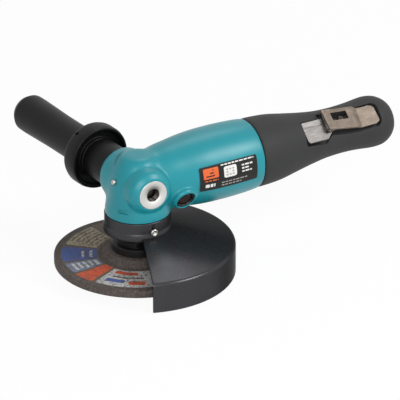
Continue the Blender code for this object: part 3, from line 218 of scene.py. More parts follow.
def turn(name, profile, place=UPRIGHT, finish=None, steps=128, closed=True, sweep=(0, 360)):
    """Turns a profile of (radius, height) round the Z axis of a place. A part sweep gets end faces."""
    whole = abs(sweep[1] - sweep[0]) >= 360
    rings = steps if whole else steps + 1
    shape = bmesh.new()
    grid = []
    for ring in range(rings):
        angle = math.radians(sweep[0] + (sweep[1] - sweep[0]) * ring / steps)
        across, deep = math.cos(angle) * MM, math.sin(angle) * MM
        grid.append([shape.verts.new((r * across, r * deep, z * MM)) for r, z in profile])
    last = len(profile) if closed else len(profile) - 1
    for ring in range(steps):
        a, b = grid[ring], grid[(ring + 1) % rings]
        for i in range(last):
            j = (i + 1) % len(profile)
            shape.faces.new((a[i], b[i], b[j], a[j]))
    if not whole:
        shape.faces.new(grid[0])
        shape.faces.new(grid[-1])
    bmesh.ops.remove_doubles(shape, verts=shape.verts, dist=1e-7)
    bmesh.ops.dissolve_degenerate(shape, edges=shape.edges, dist=1e-8)
    return close_up(shape, name, place, finish)


def solid(name, profile, place=UPRIGHT, finish=None, steps=128):
    """A turned solid, closed along its own axis."""
    whole = [(0, profile[0][1]), *profile, (0, profile[-1][1])]
    return turn(name, whole, place, finish, steps, closed=False)


def slab(name, outline, low, high, place, finish=None):
    """An outline in the X and Y of a place, run from low to high along its Z."""
    shape = bmesh.new()
    bottom = [shape.verts.new((x * MM, y * MM, low * MM)) for x, y in outline]
    top = [shape.verts.new((x * MM, y * MM, high * MM)) for x, y in outline]
    shape.faces.new(bottom)
    shape.faces.new(top)
    for i in range(len(outline)):
        j = (i + 1) % len(outline)
        shape.faces.new((bottom[i], bottom[j], top[j], top[i]))
    return close_up(shape, name, place, finish)


def settle(piece):
    """Turns a piece's modifiers into plain mesh."""
    view = bpy.context.evaluated_depsgraph_get()
    mesh = bpy.data.meshes.new_from_object(piece.evaluated_get(view))
    piece.modifiers.clear()
    old = piece.data
    piece.data = mesh
    bpy.data.meshes.remove(old)
    mesh.name = piece.name


def combine(piece, operation, *tools):
    """Cuts or joins other solids, which are used up."""
    for tool in tools:
        step = piece.modifiers.new(tool.name, "BOOLEAN")
        step.object = tool
        step.operation = operation
        step.solver = "EXACT"
        settle(piece)
        bpy.data.objects.remove(tool)


def blend(piece, grain, passes):
    """Melts a solid's edges into fillets: a fine even mesh, then a few passes of smoothing."""
    even = piece.modifiers.new("even_mesh", "REMESH")
    even.mode = "VOXEL"
    even.voxel_size = grain * MM
    soft = piece.modifiers.new("fillets", "SMOOTH")
    soft.factor = 0.5
    soft.iterations = passes
    settle(piece)
    piece.data.shade_smooth()


def crisp(piece, width=0.25, angle=35):
    """A small bevel on the sharp edges, and flats that stay flat in the shading."""
    edge = piece.modifiers.new("edge_break", "BEVEL")
    edge.width = width * MM
    edge.segments = 2
    edge.limit_method = "ANGLE"
    edge.angle_limit = math.radians(angle)
    flats = piece.modifiers.new("flat_faces", "WEIGHTED_NORMAL")
    flats.keep_sharp = False
    settle(piece)


def fit(piece, body, slot, *nodes):
    """Hangs a piece on the body that it rides on, and hides the CAD nodes that it stands for. slot is not used.
    """
    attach(piece, body)
    if nodes:
        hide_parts(*nodes)


def pointing(direction, start):
    """A place at start whose Z points along direction."""
    aim = Vector(direction).to_track_quat("Z", "Y").to_matrix().to_4x4()
    return Matrix.Translation(Vector(start) * MM) @ aim


def side(way):
    """The place of a handle boss, which leans a little forward: way is 1 on the far side and -1 on the
    near side."""
    sweep = math.radians(3.5)
    return pointing((-math.sin(sweep), way * math.cos(sweep), 0), (0, 0, AXIS_Z))


def coating(name, colour, shade, roughness, peel, relief,
            metallic=0.0, blotch=18.0, gloss=0.5, edge="#ffffff"):
    """An even finish: soft blotches between two colours, roughness that wanders, and a fine skin.
    peel is the skin's grain in millimetres, relief its height, blotch the size of the blotches, and
    edge the tint of a metallic finish where it is seen edge on."""
    made, tree = new_material(name)
    spot = add(tree, "ShaderNodeTexCoord", {})
    wander = add(tree, "ShaderNodeTexNoise", {
        "Vector": spot.outputs["Object"], "Scale": 1000 / blotch, "Detail": 4.0, "Roughness": 0.6})
    skin = add(tree, "ShaderNodeTexNoise", {
        "Vector": spot.outputs["Object"], "Scale": 1000 / peel, "Detail": 2.0})
    tint = add(tree, "ShaderNodeMix", {
        "Factor": wander.outputs["Fac"], 6: linear(colour), 7: linear(shade)}, data_type="RGBA")
    dull = add(tree, "ShaderNodeMapRange", {
        "Value": wander.outputs["Fac"], "To Min": roughness - 0.06, "To Max": roughness + 0.06})
    bump = add(tree, "ShaderNodeBump", {
        "Height": skin.outputs["Fac"], "Strength": 1.0, "Distance": relief * MM})
    shader = add(tree, "ShaderNodeBsdfPrincipled", {
        "Base Color": tint.outputs[2], "Roughness": dull.outputs[0], "Metallic": metallic,
        "Specular IOR Level": gloss, "Specular Tint": linear(edge), "Normal": bump.outputs[0]})
    add(tree, "ShaderNodeOutputMaterial", {"Surface": shader.outputs[0]})
    return made


# Teal enamel, sprayed and baked: an even colour with a soft gloss and a faint orange peel. The peel is
# drawn at 1.6 mm, coarser than the real one, so that it shows.
teal_enamel = coating("teal_baked_enamel", "#178b95", "#10818c", 0.36, 1.6, 0.010, gloss=0.42)
housing = solid("motor_housing_shell", flowing([
    (10.7, 88.0), (13.6, 86.0), (16.4, 82.0), (18.8, 77.0), (20.8, 71.0), (21.9, 65.0), (22.5, 57.0),
    (23.6, 50.0), (24.5, 46.0), (24.5, 36.0),
]), UPRIGHT, teal_enamel)
barrel_line = flowing([
    (22.0, 2.0), (22.0, 10.0), (23.2, 15.0), (24.4, 21.0), (25.6, 30.0), (27.0, 40.0), (27.9, 50.0),
    (28.2, 60.0), (28.2, 72.0), (27.5, 88.0), (26.4, 98.0), (25.6, 104.0),
])
combine(housing, "UNION", solid("barrel", barrel_line, MOTOR))
combine(housing, "UNION", solid("far_boss", [
    (15.6, 25.6), (17.0, 25.0), (19.5, 22.4), (20.4, 20.5), (20.4, 1.0)], side(1)))
blend(housing, 0.9, 90)
combine(housing, "DIFFERENCE", solid("rear_face", [(40.0, 95.2), (40.0, 120.0)], MOTOR))
combine(housing, "UNION", solid("near_boss", [
    (12.4, 25.7), (13.4, 25.1), (16.2, 22.6), (17.6, 19.5), (18.0, 15.0), (18.0, 1.0)], side(-1)))
BUTTON_X = 27.0
BUTTON_DROP = math.radians(25.0)
BUTTON = pointing((0, -math.cos(BUTTON_DROP), -math.sin(BUTTON_DROP)), (BUTTON_X, 0, AXIS_Z))
combine(housing, "UNION", solid("lock_lobe", [(8.6, 27.8), (9.8, 26.4), (9.8, 16.0)], BUTTON))
blend(housing, 0.7, 10)
combine(
    housing, "DIFFERENCE",
    solid("gear_room", [
        (11.2, 80.3), (11.2, 71.5), (9.4, 71.5), (9.4, 65.0), (19.4, 61.8), (20.6, 49.1), (20.6, 30.0)]),
    solid("collar_room", [(25.5, 42.0), (25.5, 30.0)]),
    solid("motor_bore", [(14.6, 3.0), (14.6, 37.5), (23.3, 37.5), (23.3, 101.0)], MOTOR),
    solid("button_bore", [
        (7.7, 31.0), (7.7, 23.0), (6.9, 23.0), (6.9, 16.2), (2.2, 16.2), (2.2, 8.0)], BUTTON),
    *[solid(f"insert_seat_{way}", [(11.4, 29.0), (11.4, 19.9)], side(way)) for way in (-1, 1)],
)
CAST_PAD = math.radians(213.0)
CAST_PAD_Z = 50.2
combine(housing, "UNION", slab(
    "cast_pad", rounded([(-4.0, -1.2), (4.0, -1.2), (4.0, 1.2), (-4.0, 1.2)], 0.4), 20.9, 24.1,
    pointing((math.cos(CAST_PAD), math.sin(CAST_PAD), 0), (0, 0, CAST_PAD_Z))))
fit(housing, "housing", "teal", "motor_housing")


# Handle inserts. Threaded aluminium bushes, pressed into the bosses and faced in the lathe, so that the
# side handle screws in on either side.

RING_RELIEF = 0.012


def turned_metal(name, colour, shade, roughness, place, pitch):
    """Bare metal from the lathe: fine rings round the axis of a place, pitch millimetres apart."""
    made, tree = new_material(name)
    spot = add(tree, "ShaderNodeTexCoord", {})
    back = place.inverted()
    local = add(tree, "ShaderNodeMapping", {
        "Vector": spot.outputs["Object"], "Location": back.translation, "Rotation": back.to_euler()},
        vector_type="POINT")
    flat = add(tree, "ShaderNodeVectorMath", {0: local.outputs[0], 1: (1, 1, 0)}, operation="MULTIPLY")
    radius = add(tree, "ShaderNodeVectorMath", {0: flat.outputs[0]}, operation="LENGTH")
    rings = add(tree, "ShaderNodeTexNoise", {
        "W": radius.outputs["Value"], "Scale": 1000 / pitch, "Detail": 3.0}, noise_dimensions="1D")
    tint = add(tree, "ShaderNodeMix", {
        "Factor": rings.outputs["Fac"], 6: linear(colour), 7: linear(shade)}, data_type="RGBA")
    dull = add(tree, "ShaderNodeMapRange", {
        "Value": rings.outputs["Fac"], "To Min": roughness - 0.1, "To Max": roughness + 0.1})
    bump = add(tree, "ShaderNodeBump", {
        "Height": rings.outputs["Fac"], "Strength": 1.0, "Distance": RING_RELIEF * MM})
    shader = add(tree, "ShaderNodeBsdfPrincipled", {
        "Base Color": tint.outputs[2], "Roughness": dull.outputs[0], "Metallic": 1.0,
        "Normal": bump.outputs[0]})
    add(tree, "ShaderNodeOutputMaterial", {"Surface": shader.outputs[0]})
    return made


def thread_line(root, crest, start, rise, pitch, count):
    """The zigzag of a thread's section: from root up to crest, again every pitch."""
    return [point for k in range(count)
            for point in ((root, start + k * pitch), (crest, start + rise + k * pitch))]


# A cut thread, oiled: wet metal, painted dark as painted shade so that the hole reads as deep. Its film is
# drawn at 0.5 mm.
oiled_thread_painted_shade = coating("oiled_cut_thread_painted_shade", "#4a4540", "#35312d", 0.32, 0.5, 0.01, 1.0, 3.0)
thread = thread_line(4.5, 5.0, 20.6, 0.34, 0.68, 7)
for way, name in ((-1, "near"), (1, "far")):
    # Faced aluminium: pale, with rings that spread a highlight into a fan. They are drawn 0.5 mm apart,
    # wider than the tool's real feed, so that they show.
    bright_facing = turned_metal(
        f"faced_bright_aluminium_{name}", "#e6e5e2", "#cbc9c5", 0.42, side(way), 0.5)
    insert = turn(f"handle_insert_{name}_bush", [
        (4.9, 25.3), (5.5, 26.0), *rounded([(10.6, 26.0), (11.2, 26.0), (11.2, 25.0)], 0.4, closed=False),
        (11.2, 20.2), (5.2, 20.2), (5.2, 25.1)], side(way), bright_facing)
    fit(insert, "housing", "aluminium", f"handle_insert_{name}")
    hole = turn(f"handle_thread_{name}", [
        (0, 20.6), (4.4, 20.6), *thread, (4.6, 25.35), (5.15, 25.3), (5.15, 20.2), (0, 20.2)],
        side(way), oiled_thread_painted_shade, closed=False)
    crisp(hole, 0.05, 50)
    fit(hole, "housing", "dark_steel")


# Nameplate. A thin aluminium plate, printed black and glued to the near side of the barrel. Its print
# is generic: plain blocks and bars.

PLATE_RADIUS = 28.2
PLATE_LIFT, PRINT_LIFT, OVERPRINT_LIFT = 0.30, 0.34, 0.37
BLACK, ORANGE, WHITE, GREY = range(4)


def stitch(shape, lines, index):
    """Faces between neighbouring lines of points, in the material of that index."""
    for one, other in zip(lines, lines[1:]):
        for a, b, c, d in zip(one, one[1:], other[1:], other):
            shape.faces.new((a, b, c, d)).material_index = index


def printed(name, shape, inks):
    """A piece made of printed patches, with a material for each ink."""
    mesh = bpy.data.meshes.new(name)
    shape.to_mesh(mesh)
    shape.free()
    made = new_piece(name, mesh)
    for ink in inks:
        mesh.materials.append(ink)
    return made


def plate_patch(shape, start, end, low, high, lift, corner, index):
    """A rounded patch on the barrel, from start to end along it and from low to high degrees up it."""
    rows = 24
    columns = 40
    lines = []
    for row in range(rows + 1):
        share = row / rows
        angle = math.radians(low + (high - low) * share)
        edge = min(share, 1 - share) * math.radians(high - low) * PLATE_RADIUS
        inset = corner - math.sqrt(max(corner ** 2 - (corner - edge) ** 2, 0)) if edge < corner else 0.0
        line = []
        for column in range(columns + 1):
            x = start + inset + (end - start - 2 * inset) * column / columns
            below = max((p for p in barrel_line if p[1] <= x), key=lambda p: p[1])
            above = min((p for p in barrel_line if p[1] > x), key=lambda p: p[1])
            radius = below[0] + (above[0] - below[0]) * (x - below[1]) / (above[1] - below[1]) + lift
            line.append(shape.verts.new((
                x * MM, -radius * math.cos(angle) * MM, (AXIS_Z + radius * math.sin(angle)) * MM)))
        lines.append(line)
    stitch(shape, lines, index)


# Screen-printed inks: flat colours in a thin, dull film.
plate_prints = [
    coating("black_screen_print", "#211f1f", "#1b1919", 0.45, 0.9, 0.004, gloss=0.25),
    coating("orange_screen_print", "#d9622a", "#cf5a24", 0.45, 0.9, 0.004),
    coating("white_screen_print", "#e2e0dc", "#d5d3cf", 0.45, 0.9, 0.004),
    coating("grey_screen_print", "#a5a29e", "#96938f", 0.45, 0.9, 0.004),
]
shape = bmesh.new()
plate_patch(shape, 38.0, 87.3, -15.0, 25.0, PLATE_LIFT, 0.8, BLACK)
PRINTS = [(41.0, 53.5, 5.0, 21.5, PRINT_LIFT, 0.5, ORANGE), (58.0, 69.0, 1.0, 18.5, PRINT_LIFT, 1.6, WHITE)]
PRINTS += [(43.0 + 3.2 * k, 50.2 - 0.8 * k, 8.0 + 4.6 * k, 10.0 + 4.6 * k, OVERPRINT_LIFT, 0.2, BLACK)
           for k in range(3)]
PRINTS += [(60.0 + 2.6 * k, 61.6 + 2.6 * k, 4.0 + 4.2 * row, 6.4 + 4.2 * row, OVERPRINT_LIFT, 0.2, GREY)
           for row in range(3) for k in range(3) if row != 1 or k != 1]
# Each bar is broken into dashes of uneven length.
DASH_LEAST, DASH_SPREAD, DASH_GAP = 2.2, 1.4, 0.7
for start, end, low, high, ink in (
    (56.0, 84.5, 21.0, 23.0, WHITE), (42.0, 53.0, 0.6, 2.4, ORANGE), (42.5, 50.5, -9.5, -4.0, WHITE),
    (56.0, 78.0, -6.4, -4.8, GREY), (56.0, 73.0, -11.0, -9.4, GREY), (73.5, 83.0, 13.2, 15.6, WHITE),
    (73.5, 79.5, 8.2, 10.6, WHITE), (73.5, 82.0, 3.2, 5.6, WHITE),
):
    while start < end - 0.6:
        stop = min(start + DASH_LEAST + DASH_SPREAD * math.sin(start * 5.0) ** 2, end)
        PRINTS.append((start, stop, low, high, PRINT_LIFT, 0.25, ink))
        start = stop + DASH_GAP
for print_patch in PRINTS:
    plate_patch(shape, *print_patch)
nameplate = printed("nameplate", shape, plate_prints)
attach(nameplate, "housing")


# Spindle lock. A dark brown acetal button stands in the lobe's bore, on a spring, inside a thick black
# rubber ring that keeps dirt out.

# Moulded acetal: a smooth dark brown with a soft, waxy highlight.
acetal = coating("moulded_brown_acetal", "#3a2a28", "#2f2220", 0.30, 0.8, 0.01)
# Moulded seal rubber, wiped clean: near black, with a narrow gleam along the ring.
seal_rubber = coating("moulded_seal_rubber", "#161617", "#111112", 0.26, 0.8, 0.01)
seal = turn("lock_button_seal", rounded([
    (5.5, 23.1), (5.5, 26.6), (6.1, 27.3), (7.0, 27.3), (7.6, 26.6), (7.6, 23.1)], 0.5),
    BUTTON, seal_rubber, 64)
fit(seal, "housing", "rubber", "lock_button_ring")
button = solid("lock_button_cap", rounded([
    (0.01, 26.2), (4.4, 26.2), (5.2, 25.5), (5.2, 22.8), (6.4, 22.8), (6.4, 20.6), (1.9, 20.6),
    (1.9, 10.1)], 0.5, closed=False), BUTTON, acetal, 64)
fit(button, "spindle_lock_button", "rubber", "lock_button")


# Grease fitting. A small steel fitting with a ball check, turned, zinc plated and pressed into the front
# of the head, where a grease gun reaches it.

GREASE_TURN = math.radians(186.0)
GREASE = pointing((math.cos(GREASE_TURN), math.sin(GREASE_TURN), 0), (0, 0, AXIS_Z + 5.8))
# Zinc plate on steel: pale bright metal with a cloudy grey bloom.
zinc_steel = coating("zinc_plated_steel", "#b9b7b2", "#a3a19c", 0.34, 0.7, 0.006, 1.0, 4.0)
grease = solid("grease_fitting_body", rounded([
    (0.5, 22.9), (0.8, 23.2), (1.4, 23.1), (2.0, 22.4), (2.0, 18.0)], 0.2, closed=False),
    GREASE, zinc_steel, 48)
fit(grease, "housing", "steel", "grease_fitting")


# Guard. A pressed steel half shell, welded to a rolled collar that clamps on the bearing cap, under
# satin black powder coat. The fold between its cone and its skirt is tight and catches the light.

GUARD_SWEEP = (-111.5, 68.5)
# Satin powder coat: a soft black with broad, quiet highlights that stays dark where it is seen edge on.
# Its pebble is drawn at 0.9 mm so that it shows.
powder_coat = coating(
    "satin_black_powder_coat", "#464648", "#3d3d3f", 0.27, 0.9, 0.008, 0.72, 18.0, 0.08, "#606060")
CONE_SLOPE = math.degrees(math.atan2(14.0, 48.1))
FOLD_RADIUS, FOLD_HEIGHT = 69.8, 13.3
FOLD_OUTSIDE, FOLD_INSIDE = 3.2, 1.2
FOLD_STEPS = 8


def fold_arc(bend):
    """The fold's section at a bend radius, from the cone round to the skirt."""
    angles = [math.radians((90 - CONE_SLOPE) * (1 - step / FOLD_STEPS)) for step in range(FOLD_STEPS + 1)]
    return [(FOLD_RADIUS + bend * math.cos(a), FOLD_HEIGHT + bend * math.sin(a)) for a in angles]


shell = turn("wheel_guard_shell", [
    (24.4, 30.6), *fold_arc(FOLD_OUTSIDE), (73.0, -6.9), (72.7, -7.4), (71.3, -7.4), (71.0, -6.9),
    *reversed(fold_arc(FOLD_INSIDE)), (24.4, 28.5),
], UPRIGHT, powder_coat, 144, True, GUARD_SWEEP)
crisp(shell, 0.35, 50)
collar = turn("wheel_guard_collar", rounded([
    (22.9, 41.6), (24.5, 41.6), (24.9, 41.2), (24.9, 33.4), (25.3, 32.4), (25.7, 30.4), (25.7, 27.6),
    (22.9, 27.6),
], 0.4), UPRIGHT, powder_coat)
CLAMP_TURN = math.radians(-93.0)
CLAMP = pointing((math.cos(CLAMP_TURN), math.sin(CLAMP_TURN), 0), (0, 0, 34.6))
combine(collar, "DIFFERENCE", solid("clamp_hole", [(2.0, 29.0), (2.0, 20.0)], CLAMP, None, 32))
fit(shell, "guard", "guard_paint", "wheel_guard")
fit(collar, "guard", "guard_paint")

clamp_screw = solid("guard_clamp_screw_head", rounded([
    (0.01, 27.8), (2.3, 27.8), (2.8, 27.3), (2.8, 25.2), (1.7, 25.2), (1.7, 23.1)], 0.25, closed=False),
    CLAMP, zinc_steel, 48)
HEX_RADIUS = 1.5
hexagon = [(HEX_RADIUS * math.cos(k * math.pi / 3), HEX_RADIUS * math.sin(k * math.pi / 3)) for k in range(6)]
combine(clamp_screw, "DIFFERENCE", slab("hex_socket", hexagon, 26.1, 29.0, CLAMP))
fit(clamp_screw, "guard", "steel", "guard_clamp_screw")


# Bearing cap and wheel flange. Both are steel, turned and blackened. The flange has a neck with two
# wrench flats, and the cap screws up into the head over the lower bearing.

# Blackened turned steel: a dark, slightly greasy metal with a dim highlight.
black_oxide = coating("blackened_turned_steel", "#262525", "#1e1d1d", 0.42, 0.6, 0.008, 0.5, 9.0, 0.3)
cap = turn("bearing_cap_ring", rounded([
    (20.3, 48.6), (20.3, 41.7), (22.6, 41.7), (22.6, 28.0), (22.0, 27.4), (10.5, 27.4), (10.5, 29.7),
    (17.7, 29.7), (17.7, 48.6)], 0.2), UPRIGHT, black_oxide)
fit(cap, "housing", "dark_steel", "bearing_cap")
flange = turn("wheel_flange_body", rounded([
    (7.2, 21.0), (15.0, 21.0), (15.0, 17.5), (18.9, 17.5), (19.5, 16.9), (19.5, 11.8), (10.8, 11.8),
    (10.8, 7.3), (7.2, 7.3)], 0.3), UPRIGHT, black_oxide)
FLAT_NEAR, FLAT_FAR = 12.5, 17.0
for way in (-1, 1):
    low, high = sorted((way * FLAT_NEAR, way * FLAT_FAR))
    combine(flange, "DIFFERENCE", slab(
        "wrench_flat", [(-20, low), (20, low), (20, high), (-20, high)], 17.7, 23.0, UPRIGHT))
crisp(flange, 0.2)
fit(flange, "spindle", "dark_steel", "wheel_flange")


# Grinding wheel. Aluminium oxide grit in resin, pressed over glass-fibre mesh with a raised centre.
# Its rim shows the grit, and a printed paper label is pressed into its upper face.

# Grit in resin: light and dark grains in a dull brown bed, rough enough to kill any highlight. Its
# grains are drawn at 1.1 mm, about twice the real ones, so that they show.
GRIT, BED = 1.1, 6.0
WHEEL_TOP = 6.2
bonded_grit, tree = new_material("resin_bonded_aluminium_oxide")
spot = add(tree, "ShaderNodeTexCoord", {})
grain = add(tree, "ShaderNodeTexVoronoi", {"Vector": spot.outputs["Object"], "Scale": 1000 / GRIT})
bed = add(tree, "ShaderNodeTexNoise", {"Vector": spot.outputs["Object"], "Scale": 1000 / BED, "Detail": 6.0})
shade = add(tree, "ShaderNodeValToRGB", {"Fac": grain.outputs["Color"]})
shade.color_ramp.elements[0].color = linear("#332d2a")
shade.color_ramp.elements[1].color = linear("#786b63")
shade.color_ramp.elements.new(0.5).color = linear("#4e4541")
tint = add(tree, "ShaderNodeMix", {
    "Factor": bed.outputs["Fac"], 6: shade.outputs[0], 7: linear("#453e3a")}, data_type="RGBA")
bump = add(tree, "ShaderNodeBump", {
    "Height": grain.outputs["Distance"], "Strength": 1.0, "Distance": 0.25 * MM}, invert=True)
shader = add(tree, "ShaderNodeBsdfPrincipled", {
    "Base Color": tint.outputs[2], "Roughness": 0.82, "Normal": bump.outputs[0]})
add(tree, "ShaderNodeOutputMaterial", {"Surface": shader.outputs[0]})
wheel = turn("grinding_wheel_disc", rounded([
    (11.1, 11.5), (21.5, 11.5), (23.1, 10.8), (26.1, 6.9), (27.5, WHEEL_TOP), (62.0, WHEEL_TOP), (62.5, 5.7),
    (62.5, 0.5), (62.0, 0.0), (30.0, 0.0), (25.0, 5.3), (11.1, 5.3)], 0.4), UPRIGHT, bonded_grit, 192)
fit(wheel, "spindle", "abrasive", "grinding_wheel")


# Wheel label. A paper ring, printed in plain sectors and bars, pressed into the wheel's upper face, so
# that the grit shows through the print.

LABEL_GRIT, SCUFF = 1.3, 5.0
PAPER_LIFT, SECTOR_LIFT, BAR_LIFT = 0.05, 0.07, 0.09
BROWN, SAND, BLUE, SLATE, RED, PALE = range(6)


def printed_paper(name, colour, worn):
    """Printed paper over grit: dark specks where the grit has come through."""
    made, tree = new_material(name)
    spot = add(tree, "ShaderNodeTexCoord", {})
    grit = add(tree, "ShaderNodeTexVoronoi", {"Vector": spot.outputs["Object"], "Scale": 1000 / LABEL_GRIT})
    scuff = add(tree, "ShaderNodeTexNoise", {
        "Vector": spot.outputs["Object"], "Scale": 1000 / SCUFF, "Detail": 5.0})
    both = add(tree, "ShaderNodeMath", {
        0: grit.outputs["Distance"], 1: scuff.outputs["Fac"]}, operation="MULTIPLY")
    speck = add(tree, "ShaderNodeMapRange", {
        "Value": both.outputs[0], "From Min": 0.24, "From Max": 0.42, "To Min": 0.0, "To Max": worn})
    tint = add(tree, "ShaderNodeMix", {
        "Factor": speck.outputs[0], 6: linear(colour), 7: linear("#4a423d")}, data_type="RGBA")
    bump = add(tree, "ShaderNodeBump", {
        "Height": grit.outputs["Distance"], "Strength": 1.0, "Distance": 0.09 * MM}, invert=True)
    shader = add(tree, "ShaderNodeBsdfPrincipled", {
        "Base Color": tint.outputs[2], "Roughness": 0.7, "Normal": bump.outputs[0]})
    add(tree, "ShaderNodeOutputMaterial", {"Surface": shader.outputs[0]})
    return made


def label_patch(shape, inner, outer, start, end, lift, index):
    """A part of a flat ring on the wheel, from start to end in degrees round the spindle."""
    columns = max(2, round(abs(end - start) / 2))
    rows = 4
    lines = []
    for row in range(rows + 1):
        radius = inner + (outer - inner) * row / rows
        line = []
        for column in range(columns + 1):
            angle = math.radians(start + (end - start) * column / columns)
            line.append(shape.verts.new((
                radius * math.cos(angle) * MM, radius * math.sin(angle) * MM, (WHEEL_TOP + lift) * MM)))
        lines.append(line)
    stitch(shape, list(zip(*lines)), index)


# Printed paper, pressed into grit: muted inks with dark specks where grains stand through, drawn at
# 1.3 mm so that they show.
label_inks = [
    printed_paper("brown_printed_paper", "#5b5147", 0.9),
    printed_paper("sand_printed_paper", "#a2977f", 0.8),
    printed_paper("blue_printed_paper", "#435791", 0.85),
    printed_paper("slate_printed_paper", "#737e93", 0.85),
    printed_paper("red_printed_paper", "#c4512f", 0.75),
    printed_paper("white_printed_paper", "#bdbcb9", 0.8),
]
shape = bmesh.new()
SECTORS = [
    (32.0, 56.0, 98, 134, SAND), (30.5, 57.0, 138, 164, BLUE), (31.0, 56.5, 167, 184, SLATE),
    (30.0, 57.5, 187, 203, RED), (30.5, 57.0, 206, 268, PALE), (32.0, 56.0, 300, 345, SAND),
    (30.5, 57.0, 20, 60, BLUE),
]
label_patch(shape, 29.5, 57.5, 0, 360, PAPER_LIFT, BROWN)
for inner, outer, start, end, ink in SECTORS:
    label_patch(shape, inner, outer, start, end, SECTOR_LIFT, ink)
BARS = []
for row in range(6):
    for start in (100, 109, 118):
        BARS.append((34.0 + 3.8 * row, 35.3 + 3.8 * row, start + row % 2, start + 7 + row % 3, BROWN))
BARS += [(34.0 + 6.0 * row, 36.2 + 6.0 * row, 142 + 2 * row, 160 - row, PALE) for row in range(2)]
BARS += [(33.0 + 4.4 * row, 35.2 + 4.4 * row, 169, 182 - 2 * (row % 2), PALE) for row in range(5)]
BARS += [(33.0, 37.5, 212, 240, RED), (41.0, 43.0, 214, 246, BROWN), (46.0, 51.0, 211, 228, BLUE),
         (47.0, 53.0, 232, 246, RED)]
for inner, outer, start, end, ink in BARS:
    label_patch(shape, inner, outer, start, end, BAR_LIFT, ink)
label = printed("wheel_label", shape, label_inks)
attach(label, "spindle")


# Spindle and clamping nut. The spindle is ground steel with an M14 thread at its lower end, and the
# blackened nut under the wheel is tightened with a pin spanner in its two holes.

def grow(name, sizes, build, finish, place):
    """A mesh grown by a node tree. sizes are its named inputs, and build joins nodes to them and gives
    the geometry that they end in."""
    tree = bpy.data.node_groups.new(name, "GeometryNodeTree")
    for title, value in sizes.items():
        tree.interface.new_socket(
            title, in_out="INPUT", socket_type="NodeSocketInt" if isinstance(value, int) else "NodeSocketFloat")
    tree.interface.new_socket("Shape", in_out="OUTPUT", socket_type="NodeSocketGeometry")
    given = add(tree, "NodeGroupInput", {})
    real = add(tree, "GeometryNodeRealizeInstances", {"Geometry": build(tree, given.outputs)})
    finished = add(tree, "GeometryNodeSetMaterial", {"Geometry": real.outputs["Geometry"], "Material": finish})
    add(tree, "NodeGroupOutput", {"Shape": finished.outputs["Geometry"]})
    made = bpy.data.objects.new(name, bpy.data.meshes.new(name))
    scene.collection.objects.link(made)
    growth = made.modifiers.new("growth", "NODES")
    growth.node_group = tree
    for socket in tree.interface.items_tree:
        if socket.in_out == "INPUT":
            growth[socket.identifier] = sizes[socket.name]
    settle(made)
    shape = bmesh.new()
    shape.from_mesh(made.data)
    bmesh.ops.recalc_face_normals(shape, faces=shape.faces)
    shape.transform(place)
    shape.to_mesh(made.data)
    shape.free()
    made.data.shade_smooth()
    return made


def ring_of_drills(name, count, circle, radius, length, place):
    """Drills set round a circle, as one cutter: one drill, repeated on the points of a ring."""
    def build(tree, given):
        ring = add(tree, "GeometryNodeMeshCircle", {
            "Vertices": given["Count"], "Radius": given["Circle radius"]})
        drill = add(tree, "GeometryNodeMeshCylinder", {
            "Vertices": 28, "Radius": given["Drill radius"], "Depth": given["Drill length"]})
        spread = add(tree, "GeometryNodeInstanceOnPoints", {
            "Points": ring.outputs["Mesh"], "Instance": drill.outputs["Mesh"]})
        return spread.outputs["Instances"]

    sizes = {"Count": count, "Circle radius": circle * MM,
             "Drill radius": radius * MM, "Drill length": length * MM}
    return grow(name, sizes, build, black_oxide, place)


# Ground steel: clean grey metal with rings round the axis, drawn 0.4 mm apart so that they show.
ground_steel = turned_metal("ground_steel", "#b4b2ae", "#94928f", 0.32, UPRIGHT, 0.4)
spindle = solid("spindle_shaft", [
    (5.4, 0.0), (6.2, 0.7), *thread_line(6.2, 7.0, 1.2, 0.85, 1.75, 11), (7.0, 21.3), (10.0, 21.3),
    (10.0, 29.7), (7.5, 29.7), (7.5, 56.0), (5.8, 57.0), (5.8, 72.7), (4.0, 72.7), (4.0, 80.0)],
    UPRIGHT, ground_steel, 96)
crisp(spindle, 0.1, 50)
fit(spindle, "spindle", "steel", "spindle")

nut = turn("flange_nut_body", rounded([
    (7.2, 5.0), (18.0, 5.0), (18.0, 0.1), (7.9, 0.1), (7.2, 0.8)], 0.35), UPRIGHT, black_oxide)
holes = ring_of_drills("spanner_holes", 2, 13.0, 2.4, 5.0, Matrix.Translation((0, 0, 1.3 * MM)))
combine(nut, "DIFFERENCE", holes)
crisp(nut, 0.15)
fit(nut, "spindle", "dark_steel", "flange_nut")


# Side handle. A grip of moulded black nylon with a dished hand stop and a vent hole in its rim, on a
# spacer collar, screwed into the far insert by a stud.

# Moulded black nylon: deep black, with a spark-eroded skin that breaks its highlight into fine
# speckles. The skin is drawn at 1.3 mm so that it shows.
moulded_black = coating("moulded_black_nylon", "#0e0e0e", "#0a0a0a", 0.45, 1.3, 0.07, gloss=0.17)
spacer = turn("side_handle_collar_tube", rounded([
    (4.2, 26.3), (15.0, 26.3), (15.5, 26.8), (15.5, 50.0), (15.0, 50.4), (4.2, 50.4)], 0.3),
    side(1), moulded_black)
fit(spacer, "housing", "rubber", "side_handle_collar")
side_grip = solid("side_handle_grip_moulding", rounded([
    (14.6, 50.7), (15.4, 51.5), (15.4, 54.0), (20.6, 53.0), (21.9, 49.4), (23.9, 49.4), (24.7, 52.5),
    (24.7, 60.0), (23.6, 63.2), (19.8, 65.4), (15.4, 67.4), (13.9, 72.0), (13.9, 107.0), (14.6, 138.0),
    (14.5, 146.0), (12.0, 150.6), (6.5, 151.8)], 1.6, closed=False, steps=6), side(1), moulded_black)
VENT_TURN = math.radians(125.0)
vent_place = pointing((math.cos(VENT_TURN), 0, math.sin(VENT_TURN)), (-3.6, 58.7, AXIS_Z))
combine(side_grip, "DIFFERENCE", solid("vent", [(1.5, 20.0), (1.5, 28.0)], vent_place, None, 24))
crisp(side_grip, 0.3, 50)
